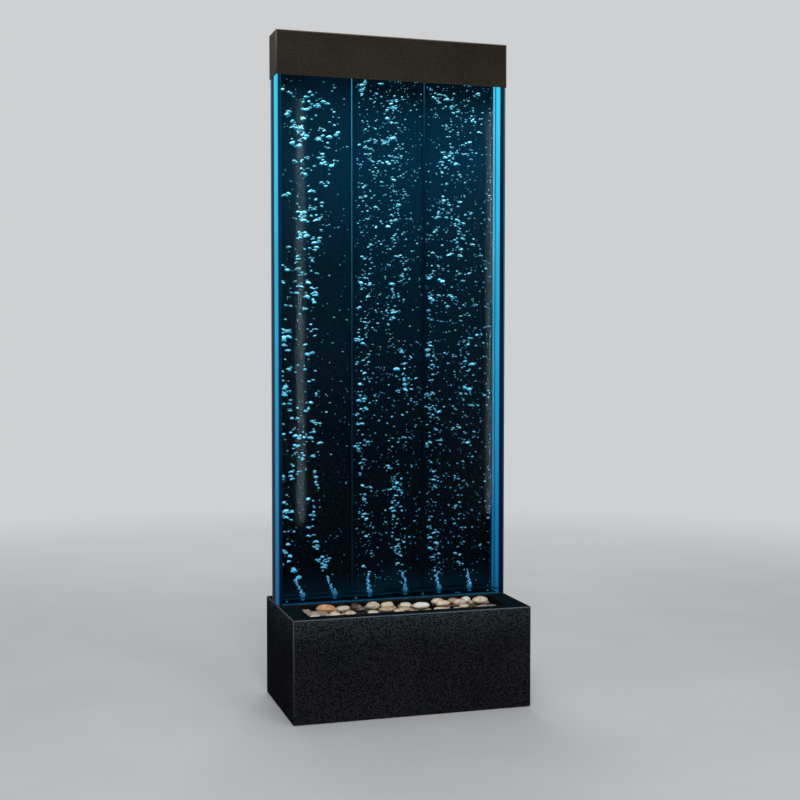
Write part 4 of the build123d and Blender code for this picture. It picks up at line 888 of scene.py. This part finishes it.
class Blobs:
    """Many flattened, dented bubbles in one mesh."""

    def __init__(self, name, seed, span, size, step):
        self.name, self.rng, self.span = name, np.random.default_rng(seed), span
        self.size, self.step = size, step
        self.points, self.faces, self.count = [], [], 0

    def add(self, column, row, wide_px, level, flat=0.0):
        """A bubble of a width in pixels: domed above, dished below, and dented by soft waves."""
        rng = self.rng
        wide = wide_px * PIXEL
        flat = flat or rng.uniform(*FLATNESS)
        margin = wide / 2 + WALL_GAP
        place = at_pixel(column, row, rng.uniform(INNER_FRONT + margin, INNER_BACK - margin))
        x = min(max(place.x, self.span[0] + margin), self.span[1] - margin)
        z = min(max(place.z, STONE_TOP), WATER_TOP - margin)
        points, faces = BALLS[level]
        dents = points @ rng.normal(0, WAVE_RATE, (3, 2)) + rng.uniform(0, WAVE_PHASE, 2)
        points = points * (1 + WAVE_DEPTH * np.sin(dents).sum(axis=1))[:, None]
        points = points * (wide / 2, wide / 2 * DEEP_SHARE, 1)
        domed = points[:, 2] > 0
        points[:, 2] *= wide * flat * np.where(domed, DOME_SHARE, DISH_SHARE)
        bend = rng.uniform(-SAG, SAG)
        turn, tilt = rng.uniform(0, math.tau), rng.uniform(-TILT, TILT)
        points[:, 2] -= np.abs(points[:, 0]) * abs(bend)
        c, s = math.cos(turn), math.sin(turn)
        points = points @ np.array(((c, s, 0), (-s, c, 0), (0, 0, 1)))
        c, s = math.cos(tilt), math.sin(tilt)
        points = points @ np.array(((c, 0, s), (0, 1, 0), (-s, 0, c)))
        self.points.append(points + (x, place.y, z))
        self.faces.append(faces + self.count)
        self.count += len(points)

    def group(self, column, row, number, spread):
        for _ in range(number):
            drawn = self.rng.gamma(WIDTH_SHAPE, WIDTH_SCALE)
            wide = self.size * (LEAST_WIDTH + ADDED_WIDTH * drawn)
            self.add(
                column + self.rng.normal(0, spread[0]), row + self.rng.normal(0, spread[1]),
                min(wide, MOST_WIDTH), FINE_BALL if wide > FINE_WIDTH else PLAIN_BALL,
            )

    def stream(self, path, spreads):
        """A thin braid above the stone that breaks into bursts of bubbles further up."""
        rng = self.rng
        rows = [row for row, column in reversed(path)]
        columns = [column for row, column in reversed(path)]
        low, high = spreads
        foot = row = path[0][0]
        while row > TOP_ROW:
            risen = (foot - row) / (FOOT_ROW - TOP_ROW)
            widened = min(1.0, risen * WIDENING)
            spread = low + (high - low) * widened ** WIDENING_POWER
            column = np.interp(row, rows, columns)
            if risen < BRAID_SHARE:
                sway = rng.normal(0, BRAID_SWAY)
                self.add(column + sway, row, rng.uniform(*BRAID_WIDTHS), PLAIN_BALL, BRAID_FLATNESS)
                row -= BRAID_STEP
                continue
            if rng.random() < BURST_CHANCE:
                number = 1 + rng.poisson(BURST_SIZE)
                sway = rng.normal(0, spread * BURST_SWAY)
                across = BURST_SPREAD + spread * BURST_SPREAD_SHARE
                self.group(column + sway, row, number, (across, BURST_ROWS))
            step = rng.uniform(*STEP_RANGE) * self.step
            row -= step * (FOOT_STEP - FOOT_STEP_LOSS * widened)

    def piece(self, look):
        mesh = bpy.data.meshes.new(self.name)
        mesh.from_pydata(
            np.concatenate(self.points).tolist(), [], np.concatenate(self.faces).tolist()
        )
        mesh.polygons.foreach_set("use_smooth", [True] * len(mesh.polygons))
        add_piece(self.name, mesh, look)


def chamber_bubbles(index, look):
    """One chamber: its two streams, its large puffs, drifting bubbles and a mist of specks."""
    size, step = CHAMBER_SIZES[index], CHAMBER_STEPS[index]
    blobs = Blobs(f"bubbles_{index + 1}", FIRST_SEED + index, CHAMBER_SPANS[index], size, step)
    rng = blobs.rng
    left, right = CHAMBER_COLUMNS[index]
    for stream in (2 * index, 2 * index + 1):
        blobs.stream(STREAMS[stream], STREAM_SPREADS[stream])
    for column, row, number in PUFFS:
        if left < column < right:
            blobs.group(column, row, round(PUFF_SHARE * number / step), PUFF_SPREAD)
    for _ in range(DRIFTERS[index]):
        row = TOP_ROW + (DRIFT_ROW - TOP_ROW) * rng.random() ** DRIFT_POWER
        blobs.add(rng.uniform(left, right), row, rng.uniform(*DRIFTER_WIDTHS), PLAIN_BALL)
    for _ in range(SPECKS[index]):
        row = TOP_ROW + (FOOT_ROW - TOP_ROW) * rng.random() ** SPECK_POWER
        column = rng.uniform(left - SPECK_MARGIN, right + SPECK_MARGIN)
        blobs.add(column, row, rng.uniform(*SPECK_WIDTHS), SPECK_BALL, SPECK_FLATNESS)
    blobs.piece(look)


# Weld beads: width, height and rounding, the dividers' place in depth, and the floor's insets
BEAD_WIDE, BEAD_HIGH, BEAD_ROUNDING = 0.0026, 0.0028, 0.3
DIVIDER_BEAD_Y = 0.0775
FRONT_BEAD_INSET, BACK_BEAD_INSET = 0.001, 0.004


def add_strip(bm, corner_a, corner_b):
    """A slim bead between two corners of a box, with softened long edges."""
    low, high = Vector(corner_a), Vector(corner_b)
    size = high - low
    new = bmesh.ops.create_cube(bm, size=1.0)["verts"]
    for vert in new:
        vert.co = low + Vector([size[k] * (vert.co[k] + 0.5) for k in range(3)])
    long_axis = max(range(3), key=lambda k: size[k])
    edges = {
        edge for vert in new for edge in vert.link_edges
        if abs((edge.verts[0].co - edge.verts[1].co)[long_axis]) > size[long_axis] / 2
    }
    offset = min(size[k] for k in range(3) if k != long_axis) * BEAD_ROUNDING
    bmesh.ops.bevel(bm, geom=list(edges), offset=offset, segments=2, affect="EDGES")


def weld_beads():
    """Beads of the solvent weld along the dividers, and along the tank's floor."""
    bm = bmesh.new()
    for side in (-1, 1):
        x = side * (divider_low.x + divider_high.x) / 2
        y, half = DIVIDER_BEAD_Y, BEAD_WIDE / 2
        add_strip(bm, (x - half, y, FLOOR_TOP), (x + half, y + BEAD_WIDE, WATER_TOP))
    for y in (INNER_FRONT + FRONT_BEAD_INSET, INNER_BACK - BACK_BEAD_INSET):
        corner = (INNER_X, y + BEAD_WIDE, FLOOR_TOP + BEAD_HIGH)
        add_strip(bm, (-INNER_X, y, FLOOR_TOP), corner)
    add_piece("weld_beads", mesh_of("weld_beads", bm), bead_material())


river_stones()
bubble_look = bubble_material()
for index in range(len(CHAMBER_SPANS)):
    chamber_bubbles(index, bubble_look)
weld_beads()


# Stage, light and camera
BACKDROP = (0.62, 0.63, 0.64)
FLOOR_SIZE = 30
# Distances from the object where the floor starts and ends to fade into the backdrop
FADE_START, FADE_END = 1.5, 4.5
WORLD_COLOUR, WORLD_STRENGTH = (0.90, 0.95, 1.0), 0.35
# Two tall slim lamps that the tank's front mirrors as soft upright bands
STRIPS = (("strip_left", 0.5175, 22), ("strip_right", 1.613, 20))
STRIP_Y, STRIP_Z, STRIP_WIDE, STRIP_HIGH = -3.485, 1.16, 0.03, 2.28
STRIP_COLOUR = (0.61, 0.91, 1.0)


def stage_floor():
    bm = bmesh.new()
    bmesh.ops.create_grid(bm, x_segments=1, y_segments=1, size=FLOOR_SIZE)
    mesh = mesh_of("floor", bm)
    floor = bpy.data.objects.new("floor", mesh)
    scene.collection.objects.link(floor)
    t = Tree("floor_paint")
    colour = t.mix(t.vary(t.noise(3, detail=2)), (0.66, 0.66, 0.66), (0.69, 0.69, 0.69))
    paint = t.surface(colour, 0.9, Specular_IOR_Level=0.1)
    away = t.add("ShaderNodeVectorMath", operation="LENGTH")
    t.link(t.coord, away.inputs[0])
    far = t.span(away.outputs["Value"], FADE_START, FADE_END, smooth=True)
    faded = t.blend(t.times(far, t.backdrop_rays()), paint, t.glow(BACKDROP))
    mesh.materials.append(t.done(faded))


def world_light():
    t = Tree("studio", bpy.data.worlds, "ShaderNodeOutputWorld")
    shaders = []
    for colour, strength in ((WORLD_COLOUR, WORLD_STRENGTH), (BACKDROP, 1.0)):
        node = t.add("ShaderNodeBackground")
        t.feed(node.inputs["Color"], colour)
        t.feed(node.inputs["Strength"], strength)
        shaders.append(node.outputs[0])
    scene.world = t.done(t.blend(t.backdrop_rays(), *shaders))


def area_light(name, place, target, size_x, size_y, power, colour=WHITE):
    lamp = bpy.data.lights.new(name, "AREA")
    lamp.shape = "RECTANGLE"
    lamp.size, lamp.size_y = size_x, size_y
    lamp.energy = power
    lamp.color = colour
    holder = bpy.data.objects.new(name, lamp)
    scene.collection.objects.link(holder)
    holder.location = place
    direction = Vector(target) - Vector(place)
    holder.rotation_euler = direction.to_track_quat("-Z", "Y").to_euler()
    return holder


def add_camera():
    data = bpy.data.cameras.new("camera")
    data.lens = CAMERA_LENS
    data.sensor_width = SENSOR_WIDTH
    camera = bpy.data.objects.new("camera", data)
    scene.collection.objects.link(camera)
    turn = Matrix((RIGHT, UP, -FORWARD)).transposed() @ Matrix.Rotation(CAMERA_ROLL, 3, "Z")
    camera.matrix_world = Matrix.Translation(CAMERA_PLACE) @ turn.to_4x4()
    scene.camera = camera


stage_floor()
world_light()
area_light("key", place=(-0.9, -3.5, 2.8), target=(0, 0, 0.9), size_x=1.4, size_y=1.2, power=66)
fill = area_light(
    "fill", place=(1.2, -3.4, 2.5), target=(0, 0, 1.0), size_x=1.2, size_y=1.2, power=22
)
fill.visible_glossy = False
area_light("back", place=(0.4, 3.0, 2.6), target=(0, 0, 0.9), size_x=2.0, size_y=1.5, power=40)
for name, x, power in STRIPS:
    place, target = (x, STRIP_Y, STRIP_Z), (x, 0, STRIP_Z)
    strip = area_light(name, place, target, STRIP_WIDE, STRIP_HIGH, power, STRIP_COLOUR)
    strip.visible_diffuse = False
add_camera()
scene.view_settings.view_transform = "Standard"
